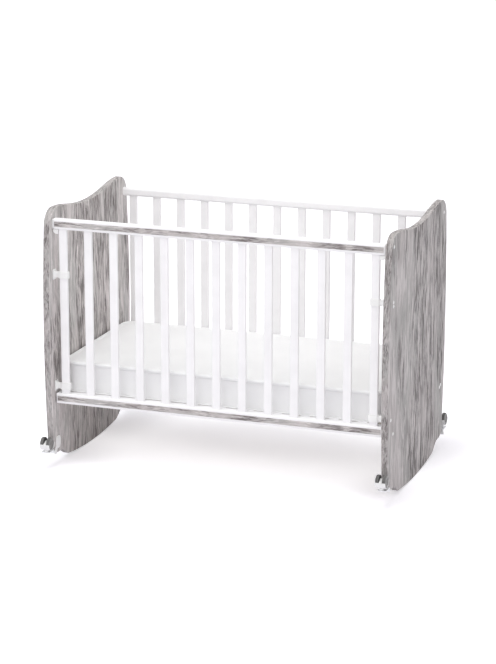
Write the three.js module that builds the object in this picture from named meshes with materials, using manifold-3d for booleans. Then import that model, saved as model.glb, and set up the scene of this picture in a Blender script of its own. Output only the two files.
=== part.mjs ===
// Rocking crib with a drop side, curved rocker ends and flip-up twin-wheel casters.
// Millimetres. X runs along the crib, -Y is the drop-side front, +Z is up.
// The origin is on the floor, under the middle of the crib.

import * as THREE from 'three';
import { mergeVertices } from 'three/addons/utils/BufferGeometryUtils.js';
import Module from 'manifold-3d';

const wasm = await Module();
wasm.setup();

// Mattress, which sets the inside of the crib
const mattressLength = 1200;
const mattressWidth = 600;
const mattressThickness = 118;
const mattressEndGap = 5;
const mattressSideGap = 15;
const mattressRearGap = 5;
const mattressTopHeight = 388;
const mattressCornerRadius = 45;
const mattressCrown = 5;
const mattressDrawIn = 6;
const mattressSideShares = [0.15, 0.5, 0.85];
const mattressCrownShares = [0.16, 0.36, 0.62];
const mattressCornerSteps = 5;
const mattressLongSteps = 8;
const mattressShortSteps = 5;
const pipingRadius = 4.5;

// End panels
const panelThickness = 25;
const panelHeight = 936;
const waistProud = 46;
const waistHeight = 480;
const sideBowRadius = 4200;
const hornRadius = 62;
const topDip = 29;
const panelEdgeRound = 4;
const rockerRadius = 1700;
const rockerHalfSpan = 215;
const footHeight = 46;
const footFlatLength = 16.5;
const footCornerRadius = 42;

// Shape of the panel's curves: how far each pull point lies along its run
const rampStartShare = 0.3;
const rampEndShare = 0.55;
const hornPullShare = 0.66;
const dipPullShare = 0.46;
const panelCurveSteps = 6;

// Slatted sides
const slatCount = 13;
const slatWidth = 30;
const slatThickness = 12;
const slatRound = 3.5;
const endPostInset = 38;
const tenonDepth = 11;
const tenonClearance = 0.2;

// Rails of the drop side: the top one hangs below the horns, the bottom one covers the base's edge
const railThickness = 24;
const railHeight = 38;
const railRound = 6;
const railEndGap = 4.5;
const railEndRound = 3;
const endClearance = 0.5;
const frontTopRailDrop = 32;
const frontBottomRailRise = 3;
const inlayHeight = 18.5;
const inlayDepth = 2;
const inlayEndMargin = 5;
const inlayClearance = 0.15;

// Rails of the fixed rear side
const rearRailThickness = 24;
const rearRailHeight = 32;
const rearRailRound = 9;
const rearTopRailDrop = 44;
const rearBottomRailFall = 8;

// Ring guides for the drop side, placed from its top and bottom rails
const guideUpperDrop = 201;
const guideLowerRise = 26;
const guideRunning = 0.6;
const guideWall = 4;
const guideRingHeight = 24;
const guideFlangeHeight = 37;
const guideFlangeWidth = 26;
const guideFlangeThickness = 3.2;
const guideNeckHeight = 21;
const guideNeckDepth = 13;
const guideRound = 5;
const guideEdgeRound = 1.3;

// Catches in the ends of the top rail, with their keepers on the panels
const boltHeight = 9;
const boltWidth = 8;
const boltLength = 24;
const boltRise = 16;
const catchClearance = 0.4;
const tongueLength = 9;
const triggerDrop = 16;
const triggerWidth = 19;
const triggerLength = 17.5;
const keeperThickness = 3.6;
const keeperWidth = 21;
const keeperHeight = 34;
const keeperTopMargin = 3;
const keeperRound = 5;
const keeperWindowMargin = 0.8;

// Slatted base under the mattress
const baseRailWidth = 19;
const baseRailHeight = 40;
const baseSideClearance = 2;
const baseEndClearance = 0.3;
const baseSlatCount = 12;
const baseSlatWidth = 62;
const baseSlatThickness = 9;
const baseSlatBite = 1.5;
const baseEndSlatInset = 40;

// Flip-up casters
const wheelRadius = 21.5;
const wheelWidth = 13.2;
const wheelEdgeRound = 2.6;
const wheelHubRecess = 2.4;
const wheelHubRadius = 14;
const casterHalfWidth = 19;
const axleRadius = 3;
const runningClearance = 0.4;
const forkWebThickness = 10;
const fenderGap = 1;
const fenderThickness = 2;
const forkTrail = 3;
const kingpinRadius = 3.5;
const kingpinLength = 5.4;
const bossRadius = 8;
const bossGap = 0.4;
const leafThickness = 3;
const leafEndGap = 0.4;
const seatClearance = 0.3;
const barrelRadius = 5;
const hingePinRadius = 3;
const hingePinHeadRadius = 4.8;
const hingePinHeadLength = 2.6;
const hingeAngle = 41.6;
const cornerClearance = 1.2;
const casterPanelClearance = 1.6;
const casterLift = 9.5;
const cheekPadWidth = 36;
const cheekPadHeight = 46;
const cheekPadRound = 16;
const cheekArmWidth = 12;
const cheekEyeRadius = 7.5;

// Cutters run past the face they open, and joined forms bite into each other
const overrun = 1;
const seamBite = 0.6;

// Points nearer to each other than this are one point
const samePoint = 1e-4;

const smallCurveSteps = 5;
const fenderSteps = 12;
const wheelSegments = 24;

// Places that follow from the sizes above
const innerX = mattressLength / 2 + mattressEndGap;
const outerX = innerX + panelThickness;
const slatPlane = mattressWidth / 2 + mattressSideGap + slatThickness / 2;
const slatPitch = (2 * innerX - 2 * endPostInset) / (slatCount - 1);
const postX = innerX - endPostInset;
const frontRailHalf = innerX - railEndGap;
const mattressBottom = mattressTopHeight - mattressThickness;
const baseTop = mattressBottom - seatClearance;
const frontTopRailTop = panelHeight - frontTopRailDrop;
const frontBottomRailTop = mattressBottom + frontBottomRailRise;
const rearTopRailTop = panelHeight - rearTopRailDrop;
const rearBottomRailTop = mattressBottom - rearBottomRailFall;
const guideUpperHeight = frontTopRailTop - guideUpperDrop;
const guideLowerHeight = frontBottomRailTop + guideLowerRise;
const panelMiddleX = innerX + panelThickness / 2;
const waistHalfDepth = slatPlane + waistProud;
const catchTravel = railEndGap - endClearance;

const wood = { color: 0xafa9a6, roughness: 0.6, metalness: 0 };
const lacquer = { color: 0xf4f4f2, roughness: 0.38, metalness: 0 };
const plastic = { color: 0xf2f2f0, roughness: 0.42, metalness: 0 };
const cloth = { color: 0xeeeeec, roughness: 0.9, metalness: 0 };
const steel = { color: 0xb9bbbd, roughness: 0.35, metalness: 0.9 };
const tyre = { color: 0x3d3c3c, roughness: 0.6, metalness: 0 };
const timber = { color: 0xd8c19a, roughness: 0.7, metalness: 0 };

const crib = new THREE.Group();

function add(name, geometry, finish) {
  const material = new THREE.MeshStandardMaterial(finish);
  const mesh = new THREE.Mesh(geometry, material);
  mesh.name = name;
  crib.add(mesh);
}

// Solids: closed geometry in, joined or cut geometry out

function solidOf(geometry) {
  const bare = geometry.clone();
  bare.deleteAttribute('normal');
  bare.deleteAttribute('uv');
  const merged = mergeVertices(bare, samePoint);
  const vertProperties = new Float32Array(merged.attributes.position.array);
  const triVerts = new Uint32Array(merged.index.array);
  const mesh = new wasm.Mesh({ numProp: 3, vertProperties, triVerts });
  return new wasm.Manifold(mesh);
}

function geometryOf(solid) {
  const mesh = solid.getMesh();
  const geometry = new THREE.BufferGeometry();
  geometry.setAttribute('position', new THREE.BufferAttribute(mesh.vertProperties, 3));
  geometry.setIndex(new THREE.BufferAttribute(mesh.triVerts, 1));
  geometry.computeVertexNormals();
  return geometry;
}

function joined(...geometries) {
  return geometryOf(geometries.map(solidOf).reduce((all, one) => all.add(one)));
}

function cut(body, ...tools) {
  return geometryOf(tools.map(solidOf).reduce((rest, tool) => rest.subtract(tool), solidOf(body)));
}

// A flat shape stood across X, Y or Z and given a length along it

function extruded(shape, low, high, edge, steps) {
  const length = high - low;
  const geometry = new THREE.ExtrudeGeometry(shape, {
    depth: length - 2 * edge,
    bevelEnabled: edge > 0,
    bevelThickness: edge,
    bevelSize: edge,
    bevelOffset: -edge,
    bevelSegments: steps,
  });
  geometry.translate(0, 0, low + edge);
  return geometry;
}

function axes(x, y, z) {
  return new THREE.Matrix4().makeBasis(x, y, z);
}

const unitX = new THREE.Vector3(1, 0, 0);
const unitY = new THREE.Vector3(0, 1, 0);
const unitZ = new THREE.Vector3(0, 0, 1);

// Shape coordinates are (y, z)
function alongX(shape, low, high, edge = 0, steps = 1) {
  return extruded(shape, low, high, edge, steps).applyMatrix4(axes(unitY, unitZ, unitX));
}

// Shape coordinates are (z, x)
function alongY(shape, low, high, edge = 0, steps = 1) {
  return extruded(shape, low, high, edge, steps).applyMatrix4(axes(unitZ, unitX, unitY));
}

// Shape coordinates are (x, y)
function alongZ(shape, low, high, edge = 0, steps = 1) {
  return extruded(shape, low, high, edge, steps);
}

// The same along X, with both ends given on the side that side (+1 or -1) names
function acrossEnd(shape, side, near, far, edge = 0, steps = 1) {
  const low = Math.min(side * near, side * far);
  const high = Math.max(side * near, side * far);
  return alongX(shape, low, high, edge, steps);
}

function roundedRect(width, height, radius, x = 0, y = 0, cornerSteps = 2) {
  const w = width / 2;
  const h = height / 2;
  const r = Math.min(radius, w, h);
  const shape = new THREE.Shape();
  shape.moveTo(x - w + r, y - h);
  shape.absarc(x + w - r, y - h + r, r, -Math.PI / 2, 0);
  shape.absarc(x + w - r, y + h - r, r, 0, Math.PI / 2);
  shape.absarc(x - w + r, y + h - r, r, Math.PI / 2, Math.PI);
  shape.absarc(x - w + r, y - h + r, r, Math.PI, Math.PI * 1.5);
  return new THREE.Shape(cleaned(shape.getPoints(cornerSteps)));
}

function rect(width, height, x = 0, y = 0) {
  const w = width / 2;
  const h = height / 2;
  return new THREE.Shape([
    new THREE.Vector2(x - w, y - h),
    new THREE.Vector2(x + w, y - h),
    new THREE.Vector2(x + w, y + h),
    new THREE.Vector2(x - w, y + h),
  ]);
}

function disc(radius, x, y, sides = 16) {
  const points = [];
  for (let i = 0; i < sides; i++) {
    const turn = (2 * Math.PI * i) / sides;
    points.push(new THREE.Vector2(x + radius * Math.cos(turn), y + radius * Math.sin(turn)));
  }
  return new THREE.Shape(points);
}

// Drops points that repeat the one before them, and a last point that repeats the first
function cleaned(points) {
  const kept = [];
  for (const point of points) {
    if (!kept.length || kept[kept.length - 1].distanceTo(point) > samePoint) kept.push(point);
  }
  if (kept[0].distanceTo(kept[kept.length - 1]) < samePoint) kept.pop();
  return kept;
}

// End panels

// Half the panel's depth on its bowed front and rear edges at a height
function panelHalfDepth(height) {
  const rise = height - waistHeight;
  return waistHalfDepth - sideBowRadius + Math.sqrt(sideBowRadius ** 2 - rise ** 2);
}

// A corner circle that touches the bowed edge from inside, with its centre at a height
function bowCorner(radius, height) {
  const reach = Math.sqrt((sideBowRadius - radius) ** 2 - (height - waistHeight) ** 2);
  const y = waistHalfDepth - sideBowRadius + reach;
  const lean = Math.atan2(height - waistHeight, reach);
  return { y, z: height, lean };
}

const footCorner = bowCorner(footCornerRadius, footHeight + footCornerRadius);
const hornCorner = bowCorner(hornRadius, panelHeight - hornRadius);
const footInnerHalf = footCorner.y - footFlatLength;

function panelShape() {
  const sweep = Math.asin(rockerHalfSpan / rockerRadius);
  const rockerEnd = rockerRadius * (1 - Math.cos(sweep));
  const rampLength = footInnerHalf - rockerHalfSpan;
  const runOut = rockerHalfSpan + rampLength * rampStartShare;
  const runIn = rockerHalfSpan + rampLength * rampEndShare;
  const half = new THREE.Path();
  half.moveTo(0, 0);
  half.absarc(0, rockerRadius, rockerRadius, -Math.PI / 2, -Math.PI / 2 + sweep);
  half.bezierCurveTo(
    runOut, rockerEnd + (runOut - rockerHalfSpan) * Math.tan(sweep),
    runIn, footHeight,
    footInnerHalf, footHeight,
  );
  half.lineTo(footCorner.y, footHeight);
  half.absarc(footCorner.y, footCorner.z, footCornerRadius, -Math.PI / 2, footCorner.lean);
  const bowCentre = waistHalfDepth - sideBowRadius;
  half.absarc(bowCentre, waistHeight, sideBowRadius, footCorner.lean, hornCorner.lean);
  half.absarc(hornCorner.y, hornCorner.z, hornRadius, hornCorner.lean, Math.PI / 2);
  half.bezierCurveTo(
    hornCorner.y * hornPullShare, panelHeight,
    hornCorner.y * dipPullShare, panelHeight - topDip,
    0, panelHeight - topDip,
  );
  const right = cleaned(half.getPoints(panelCurveSteps));
  const left = right.slice(1, -1).reverse().map((p) => new THREE.Vector2(-p.x, p.y));
  return new THREE.Shape([...right, ...left]);
}

for (const [name, side] of [['left', -1], ['right', 1]]) {
  add(`end_panel_${name}`, acrossEnd(panelShape(), side, innerX, outerX, panelEdgeRound, 2), wood);
}

// Slats, which enter both rails with their full section

function slatSection(x, y, clearance = 0) {
  const width = slatWidth + 2 * clearance;
  const thickness = slatThickness + 2 * clearance;
  return roundedRect(width, thickness, slatRound + clearance, x, y, 1);
}

function slatX(index) {
  return -postX + index * slatPitch;
}

function sideSlats(y, bottomRailTop, topRailBottom, nameOf) {
  const low = bottomRailTop - tenonDepth + tenonClearance;
  const high = topRailBottom + tenonDepth - tenonClearance;
  for (let i = 0; i < slatCount; i++) {
    add(nameOf(i), alongZ(slatSection(slatX(i), y), low, high), lacquer);
  }
}

function mortises(y, mouth, up) {
  const low = up ? mouth - overrun : mouth - tenonDepth;
  const high = up ? mouth + tenonDepth : mouth + overrun;
  const tools = [];
  for (let i = 0; i < slatCount; i++) {
    tools.push(alongZ(slatSection(slatX(i), y, tenonClearance), low, high));
  }
  return tools;
}

const two = (n) => String(n).padStart(2, '0');

// Rear side, bolted between the end panels

const rearTopRailBottom = rearTopRailTop - rearRailHeight;

function rearRail(top, mouth, up) {
  const middle = top - rearRailHeight / 2;
  const section = roundedRect(rearRailThickness, rearRailHeight, rearRailRound, slatPlane, middle);
  return cut(alongX(section, -innerX, innerX), ...mortises(slatPlane, mouth, up));
}

add('rear_top_rail', rearRail(rearTopRailTop, rearTopRailBottom, true), lacquer);
add('rear_bottom_rail', rearRail(rearBottomRailTop, rearBottomRailTop, false), lacquer);
sideSlats(slatPlane, rearBottomRailTop, rearTopRailBottom, (i) => `rear_slat_${two(i + 1)}`);

// Drop side at the front: two rails, two end posts that run in the guides, and slats between

const frontTopRailBottom = frontTopRailTop - railHeight;
const railFace = -slatPlane - railThickness / 2;
const boltZ = frontTopRailBottom + boltRise + boltHeight / 2;
const inlayHalf = frontRailHalf - inlayEndMargin;

function inlayGroove(middle) {
  const height = inlayHeight + 2 * inlayClearance;
  const shape = rect(inlayDepth + overrun, height, railFace + (inlayDepth - overrun) / 2, middle);
  return alongX(shape, -inlayHalf - inlayClearance, inlayHalf + inlayClearance);
}

// A thrown catch keeps its tongue behind the rail's end, clear of the keeper
const tongueEnd = frontRailHalf - catchTravel - catchClearance;

// Room in the rail's end for the catch: a channel for its bolt over a slot for its tongue
function catchRoom(side) {
  const bottom = frontTopRailBottom - overrun;
  const tongueTop = boltZ;
  const width = boltWidth + 2 * catchClearance;
  const channel = rect(width, boltHeight + 2 * catchClearance, -slatPlane, boltZ);
  const slot = rect(width, tongueTop - bottom, -slatPlane, (tongueTop + bottom) / 2);
  const boltBack = frontRailHalf - boltLength - catchClearance;
  const tongueBack = tongueEnd - tongueLength - catchClearance;
  return [
    acrossEnd(channel, side, boltBack, frontRailHalf + overrun),
    acrossEnd(slot, side, tongueBack, frontRailHalf + overrun),
  ];
}

function frontRail(top, mouth, up, rooms) {
  const middle = top - railHeight / 2;
  const section = roundedRect(railThickness, railHeight, railRound, -slatPlane, middle);
  const bar = alongX(section, -frontRailHalf, frontRailHalf, railEndRound, 2);
  return cut(bar, inlayGroove(middle), ...mortises(-slatPlane, mouth, up), ...rooms);
}

function inlay(middle) {
  const shape = rect(inlayDepth, inlayHeight, railFace + inlayDepth / 2, middle);
  return alongX(shape, -inlayHalf, inlayHalf);
}

const catchRooms = [...catchRoom(-1), ...catchRoom(1)];
add('front_top_rail', frontRail(frontTopRailTop, frontTopRailBottom, true, catchRooms), lacquer);
add('front_bottom_rail', frontRail(frontBottomRailTop, frontBottomRailTop, false, []), lacquer);
add('front_top_inlay', inlay(frontTopRailTop - railHeight / 2), wood);
add('front_bottom_inlay', inlay(frontBottomRailTop - railHeight / 2), wood);

function frontSlatName(index) {
  if (index === 0) return 'front_post_left';
  if (index === slatCount - 1) return 'front_post_right';
  return `front_slat_${two(index)}`;
}

sideSlats(-slatPlane, frontBottomRailTop, frontTopRailBottom, frontSlatName);

// Ring guides: a flange on the panel, a flared neck and a ring round the end post

function guideNeckShape(side, height) {
  const flange = side * (innerX - guideFlangeThickness + seamBite);
  const waist = side * (innerX - guideFlangeThickness - guideFlangeHeight / 4);
  const ring = side * (postX + slatWidth / 2 + guideRunning + guideWall / 2);
  const flare = guideFlangeHeight / 2 - guideRound / 2;
  const neck = guideNeckHeight / 2;
  const shape = new THREE.Shape();
  shape.moveTo(height - flare, flange);
  shape.quadraticCurveTo(height - neck, flange, height - neck, waist);
  shape.lineTo(height - neck, ring);
  shape.lineTo(height + neck, ring);
  shape.lineTo(height + neck, waist);
  shape.quadraticCurveTo(height + neck, flange, height + flare, flange);
  return new THREE.Shape(cleaned(shape.getPoints(smallCurveSteps)));
}

function guide(side, height) {
  const y = -slatPlane;
  const plate = roundedRect(guideFlangeWidth, guideFlangeHeight, guideRound, y, height);
  const flange = acrossEnd(plate, side, innerX - guideFlangeThickness, innerX);
  const neck = alongY(guideNeckShape(side, height), y - guideNeckDepth / 2, y + guideNeckDepth / 2);
  const grown = 2 * (guideRunning + guideWall);
  const round = guideRound + guideWall;
  const outer = roundedRect(slatWidth + grown, slatThickness + grown, round, side * postX, y);
  const low = height - guideRingHeight / 2;
  const high = height + guideRingHeight / 2;
  const ring = alongZ(outer, low, high, guideEdgeRound);
  const bore = alongZ(slatSection(side * postX, y, guideRunning), low - overrun, high + overrun);
  return cut(joined(flange, neck, ring), bore);
}

for (const [name, side] of [['left', -1], ['right', 1]]) {
  add(`guide_upper_${name}`, guide(side, guideUpperHeight), plastic);
  add(`guide_lower_${name}`, guide(side, guideLowerHeight), plastic);
}

// Catches: a bolt that slides out of the rail's end, with a trigger under the rail

function triggerShape(side) {
  const top = frontTopRailBottom - catchClearance;
  const bottom = frontTopRailBottom - triggerDrop;
  const outer = side * frontRailHalf;
  const inner = side * (frontRailHalf - triggerLength);
  const shape = new THREE.Shape();
  shape.moveTo(top, outer);
  shape.lineTo(top, inner);
  shape.lineTo(bottom, inner);
  shape.quadraticCurveTo(bottom, outer, top - triggerDrop / 3, outer);
  return new THREE.Shape(cleaned(shape.getPoints(smallCurveSteps)));
}

function catchBolt(side) {
  const y = -slatPlane;
  const boltShape = rect(boltWidth, boltHeight, y, boltZ);
  const bolt = acrossEnd(boltShape, side, frontRailHalf - boltLength, frontRailHalf);
  const low = frontTopRailBottom - triggerDrop / 2;
  const tongueShape = rect(boltWidth, boltZ - low, y, (boltZ + low) / 2);
  const tongue = acrossEnd(tongueShape, side, tongueEnd - tongueLength, tongueEnd);
  const trigger = alongY(triggerShape(side), y - triggerWidth / 2, y + triggerWidth / 2);
  return joined(bolt, tongue, trigger);
}

function keeper(side) {
  const middle = frontTopRailTop - keeperTopMargin - keeperHeight / 2;
  const plate = roundedRect(keeperWidth, keeperHeight, keeperRound, -slatPlane, middle);
  const grown = 2 * keeperWindowMargin;
  const window = rect(boltWidth + grown, boltHeight + grown, -slatPlane, boltZ);
  const near = innerX - keeperThickness;
  const body = acrossEnd(plate, side, near, innerX);
  return cut(body, acrossEnd(window, side, near - overrun, innerX + overrun));
}

for (const [name, side] of [['left', -1], ['right', 1]]) {
  add(`catch_bolt_${name}`, catchBolt(side), plastic);
  add(`catch_keeper_${name}`, keeper(side), plastic);
}

// Slatted base: two side rails bolted to the end panels, with cross slats let into their tops

function slattedBase() {
  const halfLength = innerX - baseEndClearance;
  const halfWidth = slatPlane - railThickness / 2 - baseSideClearance;
  const railTop = baseTop - baseSlatThickness + baseSlatBite;
  const railY = halfWidth - baseRailWidth / 2;
  const railZ = railTop - baseRailHeight / 2;
  const parts = [-1, 1].map((face) =>
    alongX(rect(baseRailWidth, baseRailHeight, face * railY, railZ), -halfLength, halfLength));
  const firstX = -halfLength + baseEndSlatInset;
  const pitch = (-2 * firstX) / (baseSlatCount - 1);
  for (let i = 0; i < baseSlatCount; i++) {
    const plan = rect(baseSlatWidth, 2 * halfWidth, firstX + i * pitch, 0);
    parts.push(alongZ(plan, baseTop - baseSlatThickness, baseTop));
  }
  return joined(...parts);
}

add('mattress_base', slattedBase(), timber);

// Mattress: rounded plan, drawn-in sides between two piped edges, and a low crown

const mattressMiddleY = slatPlane - slatThickness / 2 - mattressRearGap - mattressWidth / 2;

// Points evenly placed on a straight run, without its end
function run(fromX, fromY, toX, toY, steps) {
  return Array.from({ length: steps }, (_, i) => {
    const share = i / steps;
    return [fromX + (toX - fromX) * share, fromY + (toY - fromY) * share];
  });
}

// Points evenly placed on a quarter turn, without its end
function quarter(x, y, radius, start) {
  return Array.from({ length: mattressCornerSteps }, (_, i) => {
    const turn = start + (Math.PI / 2) * (i / mattressCornerSteps);
    return [x + radius * Math.cos(turn), y + radius * Math.sin(turn)];
  });
}

// The mattress's outline drawn in by an inset, at a height
function mattressRing(inset, z) {
  const halfX = mattressLength / 2 - inset;
  const halfY = mattressWidth / 2 - inset;
  const radius = Math.max(mattressCornerRadius - inset, mattressCornerRadius / 8);
  const straightX = halfX - radius;
  const straightY = halfY - radius;
  const ring = [
    ...run(-straightX, -halfY, straightX, -halfY, mattressLongSteps),
    ...quarter(straightX, -straightY, radius, -Math.PI / 2),
    ...run(halfX, -straightY, halfX, straightY, mattressShortSteps),
    ...quarter(straightX, straightY, radius, 0),
    ...run(straightX, halfY, -straightX, halfY, mattressLongSteps),
    ...quarter(-straightX, straightY, radius, Math.PI / 2),
    ...run(-halfX, straightY, -halfX, -straightY, mattressShortSteps),
    ...quarter(-straightX, -straightY, radius, Math.PI),
  ];
  return ring.map(([x, y]) => [x, y + mattressMiddleY, z]);
}

// Insets and heights of a bead round the edge, at turns in degrees from its outermost line
function pipingLevels(middle, turns) {
  return turns.map((turn) => {
    const angle = THREE.MathUtils.degToRad(turn);
    return [pipingRadius * (1 - Math.cos(angle)), middle + pipingRadius * Math.sin(angle)];
  });
}

function mattressLevels() {
  const wallInset = pipingRadius + mattressDrawIn / 3;
  const wallLow = mattressBottom + 2 * pipingRadius;
  const rimTop = mattressTopHeight - mattressCrown;
  const wallHeight = rimTop - 2 * pipingRadius - wallLow;
  const wall = mattressSideShares.map((share) => {
    const bow = 1 - (2 * share - 1) ** 2;
    return [wallInset + mattressDrawIn * bow * (2 / 3), wallLow + wallHeight * share];
  });
  const crownReach = mattressWidth / 2 - 3 * pipingRadius;
  const crown = mattressCrownShares.map((share) => {
    const rise = mattressCrown * Math.sin((share * Math.PI) / 2);
    return [2 * pipingRadius + crownReach * share, rimTop + rise];
  });
  return [
    [3 * pipingRadius, mattressBottom],
    ...pipingLevels(mattressBottom + pipingRadius, [-90, -45, 0, 60]),
    ...wall,
    ...pipingLevels(rimTop - pipingRadius / 2, [-60, 0, 45, 90, 125]),
    ...crown,
  ];
}

function mattressGeometry() {
  const rings = mattressLevels().map(([inset, z]) => mattressRing(inset, z));
  const count = rings[0].length;
  const bottomCentre = rings.length * count;
  const topCentre = bottomCentre + 1;
  const positions = rings.flat(2);
  positions.push(0, mattressMiddleY, mattressBottom);
  positions.push(0, mattressMiddleY, mattressTopHeight);
  const last = (rings.length - 1) * count;
  const triangles = [];
  for (let i = 0; i < count; i++) {
    const next = (i + 1) % count;
    triangles.push(bottomCentre, next, i);
    for (let low = 0; low < last; low += count) {
      triangles.push(low + i, low + next, low + next + count);
      triangles.push(low + i, low + next + count, low + i + count);
    }
    triangles.push(topCentre, last + i, last + next);
  }
  const geometry = new THREE.BufferGeometry();
  geometry.setAttribute('position', new THREE.Float32BufferAttribute(positions, 3));
  geometry.setIndex(triangles);
  geometry.computeVertexNormals();
  return geometry;
}

add('mattress', mattressGeometry(), cloth);

// Casters. Each is drawn parked: its leaf is flipped up in front of the panel's foot and the
// wheels stand above it. Half a turn about the hinge brings the leaf flat under the foot.

const hingeTurn = (hingeAngle * Math.PI) / 180;
const hingeReach = footCornerRadius + cornerClearance + barrelRadius;
const hingeY = footCorner.y + hingeReach * Math.cos(hingeTurn);
const hingeZ = footCorner.z - hingeReach * Math.sin(hingeTurn);
const leafOffset = hingeZ - footHeight + seatClearance;
const leafTop = hingeZ + leafOffset + leafThickness;
const wheelZ = 2 * hingeZ - (wheelRadius - casterLift);
const fenderInner = wheelRadius + fenderGap;
const fenderOuter = fenderInner + fenderThickness;
const sweepRadius = Math.hypot(fenderOuter + forkTrail, casterHalfWidth);
const stemY = panelHalfDepth(wheelZ + wheelRadius) + casterPanelClearance + sweepRadius;
const axleY = stemY - forkTrail;
const leafNear = innerX + leafEndGap;
const leafFar = panelMiddleX + casterHalfWidth;
const leafTip = 2 * hingeY - footInnerHalf - leafEndGap;
const cheekThickness = railEndGap - endClearance;

function casterCheek(side, face) {
  const padY = footCorner.y + cheekPadWidth / 3;
  const padZ = footCorner.z;
  const near = innerX - cheekThickness;
  const padShape = roundedRect(cheekPadWidth, cheekPadHeight, cheekPadRound, face * padY, padZ, 4);
  const pad = acrossEnd(padShape, side, near, innerX);
  const run = new THREE.Vector2(hingeY - padY, hingeZ - padZ);
  const across = new THREE.Vector2(-run.y, run.x).setLength(cheekArmWidth / 2);
  const arm = new THREE.Shape([
    new THREE.Vector2(face * (padY + across.x), padZ + across.y),
    new THREE.Vector2(face * (padY - across.x), padZ - across.y),
    new THREE.Vector2(face * (hingeY - across.x), hingeZ - across.y),
    new THREE.Vector2(face * (hingeY + across.x), hingeZ + across.y),
  ]);
  const armBar = acrossEnd(arm, side, near, innerX);
  const round = (radius, from, to) => acrossEnd(disc(radius, face * hingeY, hingeZ), side, from, to);
  const headStart = leafFar + leafEndGap;
  const eye = round(cheekEyeRadius, near, innerX);
  const pin = round(hingePinRadius, near + seamBite, headStart + seamBite);
  const head = round(hingePinHeadRadius, headStart, headStart + hingePinHeadLength);
  return joined(pad, armBar, eye, pin, head);
}

function casterLeaf(side, face) {
  const at = (y, z) => new THREE.Vector2(face * y, z);
  const low = leafTop - leafThickness;
  const crank = new THREE.Shape([
    at(hingeY - barrelRadius / 2, hingeZ),
    at(hingeY + barrelRadius / 2, hingeZ),
    at(hingeY + barrelRadius / 2 + leafOffset, low + seamBite),
    at(hingeY + leafOffset - barrelRadius / 2, leafTop),
    at(hingeY + leafOffset - barrelRadius, leafTop),
  ]);
  const nearEdge = hingeY + leafOffset - barrelRadius;
  const middleY = face * (leafTip + nearEdge) / 2;
  const section = rect(leafTip - nearEdge, leafThickness, middleY, leafTop - leafThickness / 2);
  const round = (radius, from, to) => acrossEnd(disc(radius, face * hingeY, hingeZ), side, from, to);
  const barrel = round(barrelRadius, leafNear, leafFar);
  const bore = round(hingePinRadius + runningClearance, leafNear - overrun, leafFar + overrun);
  const web = acrossEnd(crank, side, leafNear, leafFar);
  const plate = acrossEnd(section, side, leafNear, leafFar);
  const pinPlan = disc(kingpinRadius, side * panelMiddleX, face * stemY);
  const kingpin = alongZ(pinPlan, leafTop - seamBite, leafTop + kingpinLength);
  return cut(joined(barrel, web, plate, kingpin), bore);
}

// Half a ring under the wheel's axle, open towards the top
function fenderShape(y) {
  const arc = (radius) => Array.from({ length: fenderSteps + 1 }, (_, i) => {
    const turn = Math.PI + (Math.PI * i) / fenderSteps;
    return new THREE.Vector2(y + radius * Math.cos(turn), wheelZ + radius * Math.sin(turn));
  });
  return new THREE.Shape([...arc(fenderOuter), ...arc(fenderInner).reverse()]);
}

// Plate between the two wheels, from the fender up to a flat over the axle
function forkWebShape(y) {
  const radius = fenderInner + seamBite;
  const shape = new THREE.Shape();
  shape.moveTo(y - radius, wheelZ);
  shape.absarc(y, wheelZ, radius, Math.PI, 2 * Math.PI);
  shape.lineTo(y + bossRadius, wheelZ + bossRadius);
  shape.lineTo(y - bossRadius, wheelZ + bossRadius);
  return new THREE.Shape(cleaned(shape.getPoints(fenderSteps)));
}

function casterFork(side, face) {
  const x = side * panelMiddleX;
  const y = face * axleY;
  const halfWeb = forkWebThickness / 2;
  const fender = alongX(fenderShape(y), x - casterHalfWidth, x + casterHalfWidth);
  const web = alongX(forkWebShape(y), x - halfWeb, x + halfWeb);
  const boss = alongZ(disc(bossRadius, x, face * stemY), leafTop + bossGap, wheelZ - fenderInner);
  const kingHole = disc(kingpinRadius + runningClearance, x, face * stemY);
  const kingBore = alongZ(kingHole, leafTop, leafTop + kingpinLength + bossGap);
  const axleHole = disc(axleRadius + runningClearance, y, wheelZ);
  const axleBore = alongX(axleHole, x - halfWeb - overrun, x + halfWeb + overrun);
  return cut(joined(fender, web, boss), kingBore, axleBore);
}

// Twin wheels joined by their axle, turned about X
function casterWheels(side, face) {
  const inner = casterHalfWidth - wheelWidth;
  const outer = casterHalfWidth;
  const rows = [
    [axleRadius, inner],
    [wheelRadius, inner],
    [wheelRadius, outer - 2 * wheelEdgeRound],
    [wheelRadius - wheelEdgeRound, outer - wheelEdgeRound / 3],
    [wheelRadius - 2 * wheelEdgeRound, outer],
    [wheelHubRadius, outer],
    [wheelHubRadius - wheelHubRecess, outer - wheelHubRecess],
    [0, outer - wheelHubRecess],
  ];
  const farHalf = rows.map(([radius, x]) => new THREE.Vector2(radius, x));
  const nearHalf = rows.map(([radius, x]) => new THREE.Vector2(radius, -x)).reverse();
  const wheels = new THREE.LatheGeometry([...nearHalf, ...farHalf], wheelSegments);
  wheels.applyMatrix4(axes(unitZ, unitX, unitY));
  wheels.translate(side * panelMiddleX, face * axleY, wheelZ);
  return geometryOf(solidOf(wheels));
}

for (const [end, side] of [['left', -1], ['right', 1]]) {
  for (const [front, face] of [['front', -1], ['rear', 1]]) {
    const place = `${front}_${end}`;
    add(`caster_cheek_${place}`, casterCheek(side, face), plastic);
    add(`caster_leaf_${place}`, casterLeaf(side, face), steel);
    add(`caster_fork_${place}`, casterFork(side, face), plastic);
    add(`caster_wheels_${place}`, casterWheels(side, face), tyre);
  }
}

export default crib;
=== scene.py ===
"""The looks of a rocking crib with a drop side, curved rocker ends and flip-up casters.

Metres. X runs along the crib, -Y is the drop-side front and +Z is up. The origin is on the
floor, under the middle of the crib.
"""

import math

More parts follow.
